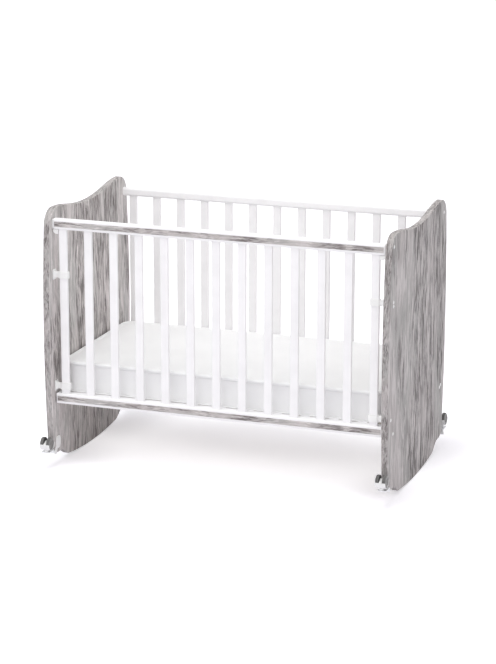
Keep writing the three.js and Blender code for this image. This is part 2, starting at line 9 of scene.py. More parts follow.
import bpy
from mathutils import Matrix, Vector


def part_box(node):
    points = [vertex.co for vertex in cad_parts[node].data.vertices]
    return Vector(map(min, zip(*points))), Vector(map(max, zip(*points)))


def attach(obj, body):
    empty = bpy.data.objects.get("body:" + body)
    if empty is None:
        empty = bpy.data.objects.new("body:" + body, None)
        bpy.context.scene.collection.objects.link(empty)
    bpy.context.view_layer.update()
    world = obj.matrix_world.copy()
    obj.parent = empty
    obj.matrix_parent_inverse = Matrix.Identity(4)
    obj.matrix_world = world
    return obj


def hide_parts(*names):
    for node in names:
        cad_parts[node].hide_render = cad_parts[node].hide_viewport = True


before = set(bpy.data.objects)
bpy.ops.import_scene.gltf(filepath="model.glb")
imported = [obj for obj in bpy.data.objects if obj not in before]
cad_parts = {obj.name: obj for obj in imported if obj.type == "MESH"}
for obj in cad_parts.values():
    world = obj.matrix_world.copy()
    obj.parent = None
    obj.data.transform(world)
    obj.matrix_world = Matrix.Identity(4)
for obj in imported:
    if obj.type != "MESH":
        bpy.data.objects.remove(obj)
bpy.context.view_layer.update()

sharp_angle = math.radians(36)
level_share = 0.7
ends = (("left", -1), ("right", 1))

# Camera
camera_place = Vector((2.6853, -7.5315, 2.6107))
camera_aim = Vector((-0.0029, 0.0120, 0.4641))
camera_roll = math.radians(0.089)
camera_lens = 125.85
camera_film = 36.0
camera_reach = 100.0

# Light: each lamp has a name, a place, a width and a power in watts
room_brightness = 0.68
soft_lamps = (
    ("front_left", Vector((-1.6, -3.2, 4.1)), 3.2, 35.0),
    ("front_right", Vector((3.2, -3.2, 2.6)), 3.0, 12.0),
    ("overhead", Vector((-0.1, -1.0, 4.2)), 2.2, 60.0),
)
soft_lamp_aim = Vector((0.0, 0.0, 0.45))

# Floor: its glow is dimmed to paint shadow: weaker round a point behind the crib's middle, which deepens
# the real shadow and shifts it back as painted shade, and weaker still round each foot, which paints a
# soft shadow there
floor_half = 14.0
floor_glow_near = 0.385
floor_glow_far = 0.57
floor_glow_start = 0.08
floor_glow_end = 0.34
crib_shadow_place = Vector((0.0, 0.22, 0.0))
crib_shadow_shape = Vector((0.45, 1.0, 1.0))
foot_shadow_place = Vector((0.63, 0.42, 0.0))
foot_shadow_shape = Vector((1.0, 0.5, 1.0))
foot_shadow_reach = 0.28
foot_shadow_depth = 0.31

# End panels
panel_low, panel_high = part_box("end_panel_right")
panel_inner_x = panel_low.x
panel_outer_x = panel_high.x
panel_height = panel_high.z
panel_middle_x = (panel_inner_x + panel_outer_x) / 2
panel_edge_round = 0.004
panel_edge_steps = 5
waist_half_depth = 0.367
waist_height = 0.480
side_bow_radius = 4.200
horn_radius = 0.062
top_dip = 0.029
horn_pull_share = 0.66
dip_pull_share = 0.46
rocker_radius = 1.700
rocker_half_span = 0.215
ramp_start_share = 0.30
ramp_end_share = 0.55
foot_height = 0.046
foot_flat_length = 0.0165
foot_corner_radius = 0.042
curve_steps = 28

# Rails and slats
slat_round = 0.0035
front_rail_round = 0.006
front_rail_end_round = 0.003
rear_rail_round = 0.009
groove_depth = 0.0023
groove_slack = 0.0004
inlay_edge_round = 0.0004
cutter_overrun = 0.002

# Guides for the drop side
guide_flange_thickness = 0.0032
guide_flange_round = 0.005
guide_flange_edge_round = 0.0009
guide_flange_half_height = 0.0185
guide_flange_half_width = 0.013
guide_flare_depth_share = 0.86
guide_flare_height_share = 0.88
guide_flare_steps = 10
guide_neck_half_height = 0.0105
guide_neck_half_depth = 0.0065
guide_neck_round = 0.0035
guide_ring_half_height = 0.012
guide_ring_round = 0.009
guide_wall = 0.004
guide_running = 0.0006
guide_edge_round = 0.0013

# Catches
bolt_half_width = 0.004
bolt_height = 0.009
bolt_length = 0.024
bolt_clearance = 0.0004
bolt_edge_round = 0.0007
tongue_outer_inset = 0.0045
tongue_inner_inset = 0.0135
tongue_drop = 0.008
trigger_length = 0.0175
trigger_drop = 0.016
trigger_round_share = 0.66
keeper_round = 0.005
keeper_edge_round = 0.0008
keeper_margin = 0.0008
keeper_screw_inset = 0.0042

# Screws, and the caps on the panels' outer faces, placed by (y, z)
round_sides = 24
screw_radius = 0.0023
screw_height_share = 0.42
screw_face_share = 0.72
screw_round_steps = 5
socket_share = 0.42
socket_taper_share = 0.94
socket_floor_share = 0.25
cap_radius = 0.0062
cap_bulge = 0.0002
cap_height = 0.0021
cap_round_steps = 6
cap_places = (
    (-0.326, 0.898),
    (-0.323, 0.708),
    (-0.323, 0.694),
    (-0.331, 0.300),
    (-0.302, 0.244),
    (0.309, 0.888),
    (0.313, 0.249),
    (0.302, 0.242),
)

# Slatted base
base_edge_round = 0.0012
base_rail_width = 0.019
base_hidden_edge = 0.002
base_slat_bite = 0.006
base_slat_drop = 0.0005
base_slat_count = 12
base_slat_width = 0.062
base_slat_thickness = 0.009
base_end_inset = 0.040
base_grain_step = (0.37, 0.61)

# Mattress
mattress_corner_radius = 0.045
mattress_least_radius = 0.002
mattress_roll_radius = 0.0078
mattress_foot_radius = 0.0030
mattress_seam_depth = 0.0016
mattress_seam_half_gap = 0.001
mattress_seam_lip = 0.0008
mattress_wall_share = 0.62
mattress_draw_in = 0.003
mattress_crown = 0.005
mattress_crown_share = 0.92
mattress_crown_power = 0.6
mattress_crown_start = 0.0012
mattress_crown_stop = 0.004
mattress_crown_drop = 0.0002
mattress_underside_shares = (4.0, 2.2)
foot_bead_turns = (-90, 72)
top_bead_turns = (-72, 104)
piping_share = 2.05
mattress_long_steps = 200
mattress_short_steps = 92
mattress_corner_steps = 14
mattress_wall_steps = 14
mattress_roll_steps = 12
mattress_top_steps = 20
mattress_wave_height = 0.0012
mattress_wave_length = 0.31
mattress_waves = ((2.0, 1.3), (2.8, 0.4))
gather_height = 0.0008
gather_reach = 0.011
gather_length = 0.021
gather_drift_length = 4.3 * gather_length
gather_long_length = 1.67 * gather_length
gather_drift = 1.4
gather_start = 0.7
stitch_setback = 0.0038
seam_rows = (
    (0.0, -0.0014),
    (mattress_crown_start, -0.0010),
    (stitch_setback, -0.0005),
    (2 * stitch_setback, 0.0),
)
stitch_length = 0.0042
stitch_pitch = 0.0064
stitch_radius = 0.00038
stitch_sides = 6
stitch_shape = ((-0.5, 0.4), (-0.36, 1.0), (0.0, 1.1), (0.36, 1.0), (0.5, 0.4))

# Casters: hinge and leaf
caster_sides = 32
hinge_y = 0.3425245
hinge_z = 0.0559988
hinge_pin_radius = 0.003
hinge_head_radius = 0.0048
hinge_head_length = 0.0026
hinge_head_round = 0.0008
hinge_bore_overrun = 0.002
leaf_barrel_radius = 0.005
leaf_thickness = 0.003
leaf_bend_lift = 0.0006
leaf_corner_round = 0.004
leaf_edge_round = 0.0005
leaf_web_round = 0.0004
king_pin_radius = 0.0035
king_pin_height = 0.0054
king_pin_root = 0.001
rivet_radius = 0.0045
rivet_sink_radius = 0.0054
rivet_sink_depth = 0.0008
rivet_set_back = 0.00015

# Casters: fork
fender_gap = 0.001
fender_thickness = 0.002
fork_trail = 0.003
fork_web_thickness = 0.010
fork_web_bite = 0.0006
fork_web_share = 1.15
fork_web_turns = (math.radians(38), math.radians(142))
fork_web_steps = 14
fork_steps = 28
fork_round = 0.0008
boss_radius = 0.008
axle_bore_half_length = 0.012
pin_clearance = 0.0004

# Casters: wheels
wheel_width = 0.0132
wheel_sides = 48
wheel_edge_round = 0.0026
wheel_edge_steps = 5
wheel_inner_share = 0.7
wheel_face_radius = 0.0205
wheel_slack = 0.0002
inner_face_slack = 0.0005
hub_radius = 0.014
hub_recess = 0.0024
axle_radius = 0.003
axle_cap = ((0.0055, 0.0), (0.0050, 0.0012), (0.0010, 0.0014))

# Casters: cheek
cheek_pad_round = 0.016
cheek_pad_edge_round = 0.0015
cheek_pad_width = 0.036
cheek_pad_height = 0.046
cheek_pad_y = 0.31848
cheek_pad_z = 0.088
cheek_arm_width = 0.012
cheek_eye_radius = 0.0075
cheek_edge_round = 0.001
cheek_pin_inset = 0.0006
cheek_pin_stop = 0.001
cheek_screw_rise = 0.013


def tint(red, green, blue):
    """A colour given from 0 to 255, as Blender's linear colour."""

    def linear(level):
        share = level / 255
        if share <= 0.04045:
            return share / 12.92
        return ((share + 0.055) / 1.055) ** 2.4

    return (linear(red), linear(green), linear(blue), 1.0)


print_ground_warm = tint(180, 174, 173)
print_ground_cool = tint(170, 168, 166)
print_mid = tint(142, 137, 136)
print_dark = tint(104, 98, 97)
print_deep = tint(70, 65, 65)
print_light = tint(200, 195, 194)
lacquer_white = tint(248, 247, 248)
lacquer_shade = tint(240, 239, 240)
plastic_white = tint(244, 244, 243)
plastic_shade = tint(232, 232, 231)
cloth_white = tint(252, 252, 252)
cloth_shade = tint(240, 240, 241)
steel_bright = tint(236, 237, 238)
steel_dull = tint(227, 228, 230)
rubber_dark = tint(84, 83, 83)
rubber_dusty = tint(118, 117, 115)
# Painted shade: the wheels' inner faces, which face each other, are coloured near black to stand in for
# the deep shade between the wheels
black_painted_shade = tint(34, 34, 34)
hub_grey = tint(138, 137, 136)
hub_dusty = tint(128, 127, 125)
timber_pale = tint(229, 221, 206)
timber_dark = tint(204, 190, 167)
floor_white = tint(248, 246, 252)

# Wood print: darker heartwood zones repeat across the boards. Each layer of streaks has its
# width and length as shares of the board's strokes, its onset, its softness and a seed.
heart_spacing = 0.90
heart_place = 0.07
crowd_span = (0.42, 0.60)
crowd_least = 0.22
fine_span = (0.3, 0.7)
fine_levels = (0.88, 1.10)
print_gloss_span = (0.25, 0.75)
print_gloss = (0.52, 0.66)
print_relief = 0.00012
light_relief_share = 0.6
print_layers = {
    "tone": (5.5, 2.6, 0.40, 0.20, 1.7),
    "crowd": (5.5, 2.6, 0.0, 1.0, 3.1),
    "broad": (2.3, 1.8, 0.44, 0.16, 5.3),
    "dark": (0.90, 0.80, 0.48, 0.07, 9.1),
    "pale": (1.10, 1.0, 0.53, 0.06, 18.2),
    "vein": (0.85, 1.8, 0.50, 0.045, 14.9),
    "hair": (0.36, 1.0, 0.46, 0.055, 27.4),
    "light": (0.28, 0.6, 0.55, 0.06, 21.3),
    "fine": (0.070, 0.60, 0.0, 1.0, 33.7),
}

# Each coat is printed over the last: a layer as strokes or lines, how much of it, its colour,
# and whether it gathers in the crowded zones
print_coats = (
    ("broad", "Strokes", 0.75, print_mid, True),
    ("dark", "Strokes", 0.95, print_dark, True),
    ("pale", "Strokes", 0.70, print_light, False),
    ("hair", "Lines", 0.70, print_dark, True),
    ("vein", "Lines", 0.85, print_deep, True),
    ("light", "Strokes", 0.60, print_light, False),
)

# The print's lines waver in long, middling and short swings: how far, how long, how broad
print_swings = ((0.045, 0.36, 0.20), (0.015, 0.075, 0.035), (0.0045, 0.016, 0.010))

# Plain finishes: patches and specks of a second shade, and threads that cross, with painted shade
# darkening the gaps between the threads
patch_span = (0.35, 0.65)
speck_span = (0.60, 0.70)
speck_fineness = 4.0
white_gloss_spread = 0.12
wheel_gloss_spread = 0.15
wheel_relief = 0.00008
thread_crossing = 0.15
thread_gap_span = (0.75, 0.35)
cloth_gap_painted_shade = 0.7
cloth_patch_shade = 0.25
cloth_gloss = (0.95, 0.82)
cloth_crease_share = 1.5
timber_ring_shade = 0.55
timber_pore_shade = 0.3
timber_ring_span = (0.3, 0.7)
timber_gloss = (0.62, 0.78)
timber_relief = 0.0001


# Node trees


class Tree:
    """Lays out the nodes and wires of one node tree."""

    def __init__(self, tree):
        self.nodes = tree.nodes
        self.links = tree.links

    def feed(self, socket, value):
        """Wires a socket to another one, or sets it to a plain value."""
        if isinstance(value, bpy.types.NodeSocket):
            self.links.new(value, socket)
        else:
            socket.default_value = value

    def node(self, kind, inputs=None, **settings):
        """A new node's outputs; its inputs are given by name or number."""
        made = self.nodes.new(kind)
        for name, value in settings.items():
            setattr(made, name, value)
        for name, value in (inputs or {}).items():
            self.feed(made.inputs[name], value)
        return made.outputs

    def maths(self, operation, first, second=0.0, clamp=False):
        inputs = {0: first, 1: second}
        return self.node("ShaderNodeMath", inputs, operation=operation, use_clamp=clamp)["Value"]

    def plus(self, first, second, clamp=False):
        return self.maths("ADD", first, second, clamp)

    def minus(self, first, second):
        return self.maths("SUBTRACT", first, second)

    def times(self, first, second):
        return self.maths("MULTIPLY", first, second)

    def over(self, first, second):
        return self.maths("DIVIDE", first, second)

    def mixed(self, share, first, second):
        return self.node("ShaderNodeMix", {0: share, 6: first, 7: second}, data_type="RGBA")[2]

    def noise(self, vector, scale, detail, roughness=0.5):
        inputs = {"Vector": vector, "Scale": scale, "Detail": detail, "Roughness": roughness}
        return self.node("ShaderNodeTexNoise", inputs)["Fac"]

    def spread(self, value, low, high, to_low=0.0, to_high=1.0):
        """Carries a value smoothly from one span to another, and keeps it there."""
        inputs = {"Value": value, "From Min": low, "From Max": high, "To Min": to_low, "To Max": to_high}
        return self.node("ShaderNodeMapRange", inputs, interpolation_type="SMOOTHSTEP")["Result"]

    def vector(self, x, y, z=0.0):
        return self.node("ShaderNodeCombineXYZ", {"X": x, "Y": y, "Z": z})["Vector"]

    def parts(self, vector):
        """A vector's first two parts."""
        outputs = self.node("ShaderNodeSeparateXYZ", {"Vector": vector})
        return outputs["X"], outputs["Y"]

    def distance(self, vector, middle, shape):
        """Distance from a middle, with each axis counted by its share."""
        inputs = {"Vector": vector, "Location": -middle * shape, "Scale": shape}
        moved = self.node("ShaderNodeMapping", inputs)["Vector"]
        return self.node("ShaderNodeVectorMath", {0: moved}, operation="LENGTH")["Value"]

    def use(self, group, **values):
        """Places a group; a name's underscores stand for the spaces in its input's name."""
        inputs = {name.replace("_", " "): value for name, value in values.items()}
        return self.node("ShaderNodeGroup", inputs, node_tree=group)

    def give(self, **values):
        """Feeds the outputs of the group that this tree is."""
        leave = self.nodes.new("NodeGroupOutput").inputs
        for name, value in values.items():
            self.feed(leave[name], value)

    def grain(self, swapped=False):
        """Grain coordinates in metres, across the grain and along it."""
        placed = self.node("ShaderNodeUVMap", uv_map="grain")["UV"]
        if not swapped:
            return placed
        across, along = self.parts(placed)
        return self.vector(along, across)

    def place(self):
        """A point's own place in metres."""
        return self.node("ShaderNodeTexCoord")["Object"]

    def seen(self):
        """1 for what the camera sees, straight or through gloss or glass, and otherwise 0."""
        rays = self.node("ShaderNodeLightPath")
        straight = self.plus(rays["Is Camera Ray"], rays["Is Glossy Ray"])
        return self.plus(straight, rays["Is Transmission Ray"], clamp=True)


socket_kinds = {
    "Grain": "NodeSocketVector",
    "Place": "NodeSocketVector",
    "Color": "NodeSocketColor",
}


def new_group(name, inputs, outputs):
    """An empty group with named sockets; those that aren't listed above are plain numbers."""
    group = bpy.data.node_groups.new(name, "ShaderNodeTree")
    for way, names in (("INPUT", inputs), ("OUTPUT", outputs)):
        for socket in names:
            kind = socket_kinds.get(socket, "NodeSocketFloat")
            group.interface.new_socket(socket, in_out=way, socket_type=kind)
    tree = Tree(group)
    return group, tree, tree.node("NodeGroupInput")


def make_streak_group():
    """Streaks drawn out along the grain: as a value, as strokes, and as lines round them."""
    group, tree, entry = new_group(
        "grain_streaks",
        ("Grain", "Width", "Length", "Onset", "Softness", "Seed"),
        ("Value", "Strokes", "Lines"),
    )
    across, along = tree.parts(entry["Grain"])
    drawn_across = tree.over(across, entry["Width"])
    drawn_along = tree.over(along, entry["Length"])
    stretched = tree.vector(drawn_across, drawn_along, entry["Seed"])
    value = tree.noise(stretched, 1.0, detail=3.5, roughness=0.52)
    strokes = tree.spread(value, entry["Onset"], tree.plus(entry["Onset"], entry["Softness"]))
    distance = tree.maths("ABSOLUTE", tree.minus(value, entry["Onset"]))
    tree.give(Value=value, Strokes=strokes, Lines=tree.spread(distance, entry["Softness"], 0.0))
    return group


def make_waver_group():
    """Grain coordinates whose lines waver gently from side to side."""
    group, tree, entry = new_group(
        "wavering_grain", ("Grain", "Sway", "Length", "Breadth"), ("Grain",)
    )
    across, along = tree.parts(entry["Grain"])
    slow = tree.vector(tree.over(across, entry["Breadth"]), tree.over(along, entry["Length"]))
    swing = tree.minus(tree.noise(slow, 1.0, detail=2.0), 0.5)
    shift = tree.times(swing, entry["Sway"])
    tree.give(Grain=tree.vector(tree.plus(across, shift), along))
    return group


def make_print_group(streaks, waver):
    """The weathered wood print: pale ground, dark and light strokes, and fine grain."""
    group, tree, entry = new_group(
        "wood_print",
        ("Grain", "Stroke Width", "Stroke Length", "Contrast", "Lift", "Heart"),
        ("Color", "Relief", "Roughness"),
    )
    grain = entry["Grain"]
    for sway, length, breadth in print_swings:
        grain = tree.use(waver, Grain=grain, Sway=sway, Length=length, Breadth=breadth)["Grain"]
    layers = {}
    for name, (width, length, onset, softness, seed) in print_layers.items():
        layers[name] = tree.use(
            streaks,
            Grain=grain,
            Width=tree.times(entry["Stroke Width"], width),
            Length=tree.times(entry["Stroke Length"], length),
            Onset=onset,
            Softness=softness,
            Seed=seed,
        )
    across, _ = tree.parts(entry["Grain"])
    turn = tree.times(tree.minus(across, heart_place), 2 * math.pi / heart_spacing)
    heart = tree.times(tree.maths("COSINE", turn), entry["Heart"])
    crowd = tree.plus(layers["crowd"]["Value"], heart)
    gathered = tree.spread(crowd, *crowd_span, crowd_least, 1.0)
    coloured = tree.mixed(layers["tone"]["Strokes"], print_ground_warm, print_ground_cool)
    for name, output, amount, ink, gathers in print_coats:
        mask = layers[name][output]
        if gathers:
            mask = tree.times(mask, gathered)
        share = tree.times(tree.times(mask, amount), entry["Contrast"])
        coloured = tree.mixed(share, coloured, ink)
    fine = layers["fine"]["Value"]
    level = tree.times(tree.spread(fine, *fine_span, *fine_levels), entry["Lift"])
    inputs = {"Vector": coloured, "Scale": level}
    brightened = tree.node("ShaderNodeVectorMath", inputs, operation="SCALE")["Vector"]
    relief = tree.plus(fine, tree.times(layers["light"]["Strokes"], light_relief_share))
    gloss = tree.spread(fine, *print_gloss_span, *print_gloss)
    tree.give(Color=brightened, Relief=relief, Roughness=gloss)
    return group


def make_ripple_group():
    """The slight mottling and ripple of a sprayed or moulded surface."""
    group, tree, entry = new_group(
        "surface_ripple", ("Place", "Pitch", "Patch"), ("Ripple", "Patches", "Specks")
    )
    ripple = tree.noise(entry["Place"], tree.over(1.0, entry["Pitch"]), detail=2.0)
    patches = tree.noise(entry["Place"], tree.over(1.0, entry["Patch"]), detail=3.0)
    specks = tree.noise(entry["Place"], tree.over(speck_fineness, entry["Pitch"]), detail=1.0)
    patches = tree.spread(patches, *patch_span)
    tree.give(Ripple=ripple, Patches=patches, Specks=tree.spread(specks, *speck_span))
    return group


def make_weave_group():
    """Plain weave: warp and weft threads that pass over and under each other."""
    group, tree, entry = new_group("plain_weave", ("Grain", "Pitch"), ("Height", "Gaps"))
    across, along = tree.parts(entry["Grain"])
    turn = tree.over(math.pi, entry["Pitch"])
    warp = tree.maths("SINE", tree.times(across, turn))
    weft = tree.maths("SINE", tree.times(along, turn))
    warp_body = tree.maths("ABSOLUTE", warp)
    weft_body = tree.maths("ABSOLUTE", weft)
    over = tree.spread(tree.times(warp, weft), -thread_crossing, thread_crossing)
    under = tree.times(weft_body, tree.minus(1.0, over))
    gaps = tree.spread(tree.maths("MAXIMUM", warp_body, weft_body), *thread_gap_span)
    tree.give(Height=tree.plus(tree.times(warp_body, over), under), Gaps=gaps)
    return group


streak_group = make_streak_group()
waver_group = make_waver_group()
print_group = make_print_group(streak_group, waver_group)
ripple_group = make_ripple_group()
weave_group = make_weave_group()


# Materials


def new_material(name, **constants):
    """A material and its nodes; constants are set on the Principled shader's own sockets."""
    material = bpy.data.materials.new(name)
    material.use_nodes = True
    tree = Tree(material.node_tree)
    for socket, value in constants.items():
        tree.nodes["Principled BSDF"].inputs[socket.replace("_", " ")].default_value = value
    return material, tree


def dress(tree, colour, roughness, height, depth):
    """Feeds the shader its colour and roughness, and a relief of a given depth."""
    shader = tree.nodes["Principled BSDF"]
    bump = tree.node("ShaderNodeBump", {"Height": height, "Distance": depth, "Strength": 1.0})
    tree.feed(shader.inputs["Base Color"], colour)
    tree.feed(shader.inputs["Roughness"], roughness)
    tree.feed(shader.inputs["Normal"], bump["Normal"])


def print_material(name, width, length, contrast, lift, heart=0.0, swapped=False):
    """A printed board, with strokes of a given width and length."""
    material, tree = new_material(name, Specular_IOR_Level=0.35)
    wood = tree.use(
        print_group,
        Grain=tree.grain(swapped),
        Stroke_Width=width,
        Stroke_Length=length,
        Contrast=contrast,
        Lift=lift,
        Heart=heart,
    )
    dress(tree, wood["Color"], wood["Roughness"], wood["Relief"], print_relief)
    return material


def skin_material(
    name, clean, worn, pitch, patch, patches, specks, smooth, rough, relief, **constants
):
    """A smooth finish with a fine ripple, and with patches and specks of a second shade."""
    material, tree = new_material(name, **constants)
    skin = tree.use(ripple_group, Place=tree.place(), Pitch=pitch, Patch=patch)
    shade = tree.plus(tree.times(skin["Patches"], patches), tree.times(skin["Specks"], specks))
    level = tree.spread(skin["Patches"], 0.0, 1.0, smooth, rough)
    dress(tree, tree.mixed(shade, clean, worn), level, skin["Ripple"], relief)
    return material


def white_material(name, clean, worn, pitch, smooth, relief):
    """A white sprayed or moulded finish."""
    return skin_material(
        name, clean, worn, pitch, patch=0.07, patches=0.5, specks=0.25,
        smooth=smooth, rough=smooth + white_gloss_spread, relief=relief,
    )


def wheel_material(name, clean, dusty, smooth):
    """Slightly dusty rubber or plastic of the wheels."""
    return skin_material(
        name, clean, dusty, pitch=0.0008, patch=0.012, patches=0.6, specks=0.3,
        smooth=smooth, rough=smooth + wheel_gloss_spread, relief=wheel_relief,
    )


def cloth_material(name, pitch, relief):
    """White woven cloth with a given thread pitch, and painted shade in the gaps between its threads."""
    material, tree = new_material(name, Sheen_Weight=0.25, Sheen_Roughness=0.5)
    weave = tree.use(weave_group, Grain=tree.grain(), Pitch=pitch)
    skin = tree.use(ripple_group, Place=tree.place(), Pitch=0.004, Patch=0.12)
    # Painted shade: the gaps between the threads are darkened
    shade = tree.times(weave["Gaps"], cloth_gap_painted_shade)
    shade = tree.plus(shade, tree.times(skin["Patches"], cloth_patch_shade), clamp=True)
    level = tree.spread(weave["Height"], 0.0, 1.0, *cloth_gloss)
    woven = tree.plus(weave["Height"], tree.times(skin["Ripple"], cloth_crease_share))
    dress(tree, tree.mixed(shade, cloth_white, cloth_shade), level, woven, relief)
    return material


def timber_material():
    """Planed pine: long pale and darker growth lines with fine pores."""
    material, tree = new_material("planed_pine", Specular_IOR_Level=0.3)
    waver = tree.use(waver_group, Grain=tree.grain(), Sway=0.010, Length=0.30, Breadth=0.16)
    grain = waver["Grain"]
    rings = tree.use(
        streak_group, Grain=grain, Width=0.007, Length=0.9, Onset=0.45, Softness=0.2, Seed=2.0
    )
    pores = tree.use(
        streak_group, Grain=grain, Width=0.0009, Length=0.03, Onset=0.6, Softness=0.1, Seed=8.0
    )
    shade = tree.times(rings["Strokes"], timber_ring_shade)
    shade = tree.plus(shade, tree.times(pores["Strokes"], timber_pore_shade), clamp=True)
    level = tree.spread(rings["Value"], *timber_ring_span, *timber_gloss)
    colour = tree.mixed(shade, timber_pale, timber_dark)
    dress(tree, colour, level, pores["Value"], timber_relief)
    return material


panel_print = print_material("panel_wood_print", 0.021, 0.17, 1.15, lift=1.12, heart=0.08)
# The inner faces' print is finer and softer than the outer one's, and its lift is raised to paint in
# light that the shaded inside of the crib lacks
panel_inner_print_painted_light = print_material(
    "panel_inner_wood_print_painted_light", 0.013, 0.13, 0.95, lift=1.42, heart=0.08
)
panel_edge_print = print_material(
    "panel_edge_wood_print", 0.0055, 0.034, 0.85, lift=1.05, swapped=True
)
inlay_print = print_material("inlay_wood_print", 0.0052, 0.070, 1.0, lift=1.28)
white_lacquer = white_material(
    "white_lacquer", lacquer_white, lacquer_shade, pitch=0.0035, smooth=0.31, relief=0.00003
)
white_plastic = white_material(
    "moulded_white_plastic", plastic_white, plastic_shade, pitch=0.0016, smooth=0.37, relief=0.00002
)
cover_cloth = cloth_material("mattress_cover_cloth", pitch=0.0011, relief=0.00012)
border_cloth = cloth_material("mattress_border_cloth", pitch=0.0014, relief=0.00014)
piping_cloth = cloth_material("mattress_piping_tape", pitch=0.0008, relief=0.0001)
zinc_steel = skin_material(
    "zinc_plated_steel", steel_bright, steel_dull, pitch=0.0012, patch=0.006, patches=1.0,
    specks=0.0, smooth=0.34, rough=0.44, relief=0.00005, Metallic=0.6,
)
tread_rubber = wheel_material("wheel_tread_rubber", rubber_dark, rubber_dusty, smooth=0.55)
# The inner faces' material is painted shade: near black where the wheels shade each other
inner_rubber_painted_shade = wheel_material("wheel_inner_rubber", black_painted_shade, rubber_dark, smooth=0.60)
hub_plastic = wheel_material("wheel_hub_plastic", hub_grey, hub_dusty, smooth=0.40)
base_timber = timber_material()


# Shapes as stacks of rings


def along_x(a, b, c):
    return (c, a, b)


def along_y(a, b, c):
    return (b, c, a)


def along_z(a, b, c):
    return (a, b, c)


def quarter(steps):
    """Turns from nothing to a right angle."""
    return [math.pi / 2 * i / steps for i in range(steps + 1)]


def turned_round(outline):
    """The outline, run counter-clockwise."""
    area = 0.0
    for (a, b), (next_a, next_b) in zip(outline, outline[1:] + outline[:1]):
        area += a * next_b - next_a * b
    return outline if area > 0 else outline[::-1]


def inset(outline, distance):
    """The outline drawn in by a distance on every side."""
    moved = []
    count = len(outline)
    for i, (a, b) in enumerate(outline):
        before = Vector(outline[i]) - Vector(outline[i - 1])
        after = Vector(outline[(i + 1) % count]) - Vector(outline[i])
        first = Vector((-before.y, before.x)).normalized()
        second = Vector((-after.y, after.x)).normalized()
        reach = (first + second) / (1 + first.dot(second))
        moved.append((a + reach.x * distance, b + reach.y * distance))
    return moved


def rounded_rectangle(a, b, half_width, half_height, radius, steps=5):
    """A rectangle round a middle, with rounded corners."""
    outline = []
    corners = ((1, -1, -0.5), (1, 1, 0.0), (-1, 1, 0.5), (-1, -1, 1.0))
    for side, level, start in corners:
        centre_a = a + side * (half_width - radius)
        centre_b = b + level * (half_height - radius)
        for i in range(steps + 1):
            turn = math.pi * (start + 0.5 * i / steps)
            outline.append((centre_a + radius * math.cos(turn), centre_b + radius * math.sin(turn)))
    return outline


def arc(a, b, radius, start, end, steps):
    """Points on an arc, without its end."""
    turns = [start + (end - start) * i / steps for i in range(steps)]
    return [(a + radius * math.cos(turn), b + radius * math.sin(turn)) for turn in turns]


def circle(a, b, radius, sides=round_sides):
    return arc(a, b, radius, 0.0, 2 * math.pi, sides)


def pulled(first, pull_first, pull_last, last, steps):
    """Points on a smooth curve between two ends, without its end."""
    points = []
    for i in range(steps):
        t = i / steps
        s = 1 - t
        shares = (s**3, 3 * s * s * t, 3 * s * t * t, t**3)
        ends_and_pulls = (first, pull_first, pull_last, last)
        points.append(
            tuple(sum(w * p[k] for w, p in zip(shares, ends_and_pulls)) for k in range(2))
        )
    return points


class Form:
    """Closed skins of one piece, with grain coordinates in metres."""

    def __init__(self):
        self.points = []
        self.faces = []
        self.grain = []
        self.finishes = []

    def add_face(self, corners, grain, finish):
        self.faces.append(corners)
        self.grain.extend(grain)
        self.finishes.append(finish)

    def stack(self, rings, place, side=0, end=0, shift=(0.0, 0.0)):
        """Joins rings of (a, b, c) points into a skin and closes both of its ends.

        The grain runs along c on its sides and along b on its ends and level faces."""
        if rings[0][0][2] > rings[-1][0][2]:
            rings = rings[::-1]
        count = len(rings[0])
        widest = max(rings, key=lambda ring: max(abs(a) + abs(b) for a, b, _ in ring))
        around = [0.0]
        for spot, ahead in zip(widest, widest[1:] + widest[:1]):
            around.append(around[-1] + (Vector(ahead) - Vector(spot)).length)
        first = len(self.points)
        for ring in rings:
            self.points.extend(place(*point) for point in ring)

        def flat(spots):
            return [(a + shift[0], b + shift[1]) for a, b, _ in spots]

        for level, (lower, upper) in enumerate(zip(rings, rings[1:])):
            base = first + level * count
            for i in range(count):
                j = (i + 1) % count
                corners = (base + i, base + j, base + count + j, base + count + i)
                spots = (lower[i], lower[j], upper[j], upper[i])
                run = Vector(lower[j]) - Vector(lower[i])
                rise = Vector(upper[i]) - Vector(lower[i])
                normal = run.cross(rise)
                if abs(normal.z) > level_share * normal.length:
                    self.add_face(corners, flat(spots), end)
                else:
                    reaches = (around[i], around[i + 1], around[i + 1], around[i])
                    grain = [(a + shift[0], spot[2] + shift[1]) for a, spot in zip(reaches, spots)]
                    self.add_face(corners, grain, side)
        last = first + (len(rings) - 1) * count
        self.add_face(tuple(range(first + count - 1, first - 1, -1)), flat(rings[0][::-1]), end)
        self.add_face(tuple(range(last, last + count)), flat(rings[-1]), end)
        return self

    def prism(self, outline, low, high, place, edge=0.0, steps=3, side=0, end=0, shift=(0.0, 0.0)):
        """An outline given a length, with the edges of its ends rounded."""
        outline = turned_round(outline)
        low, high = min(low, high), max(low, high)
        profile = [(0.0, 0.0)]
        if edge:
            profile = [(edge * (1 - math.cos(t)), edge * (1 - math.sin(t))) for t in quarter(steps)]
        rings = [(depth, inset(outline, drawn) if drawn > 0 else outline) for depth, drawn in profile]
        lower = [[(a, b, low + depth) for a, b in ring] for depth, ring in rings]
        upper = [[(a, b, high - depth) for a, b in ring] for depth, ring in reversed(rings)]
        return self.stack(lower + upper, place, side, end, shift)

    def turned(self, profile, place, a, b, sides=round_sides):
        """A profile of (radius, height) pairs turned about an axis."""
        rings = [[(p, q, c) for p, q in circle(a, b, radius, sides)] for radius, c in profile]
        return self.stack(rings, place)


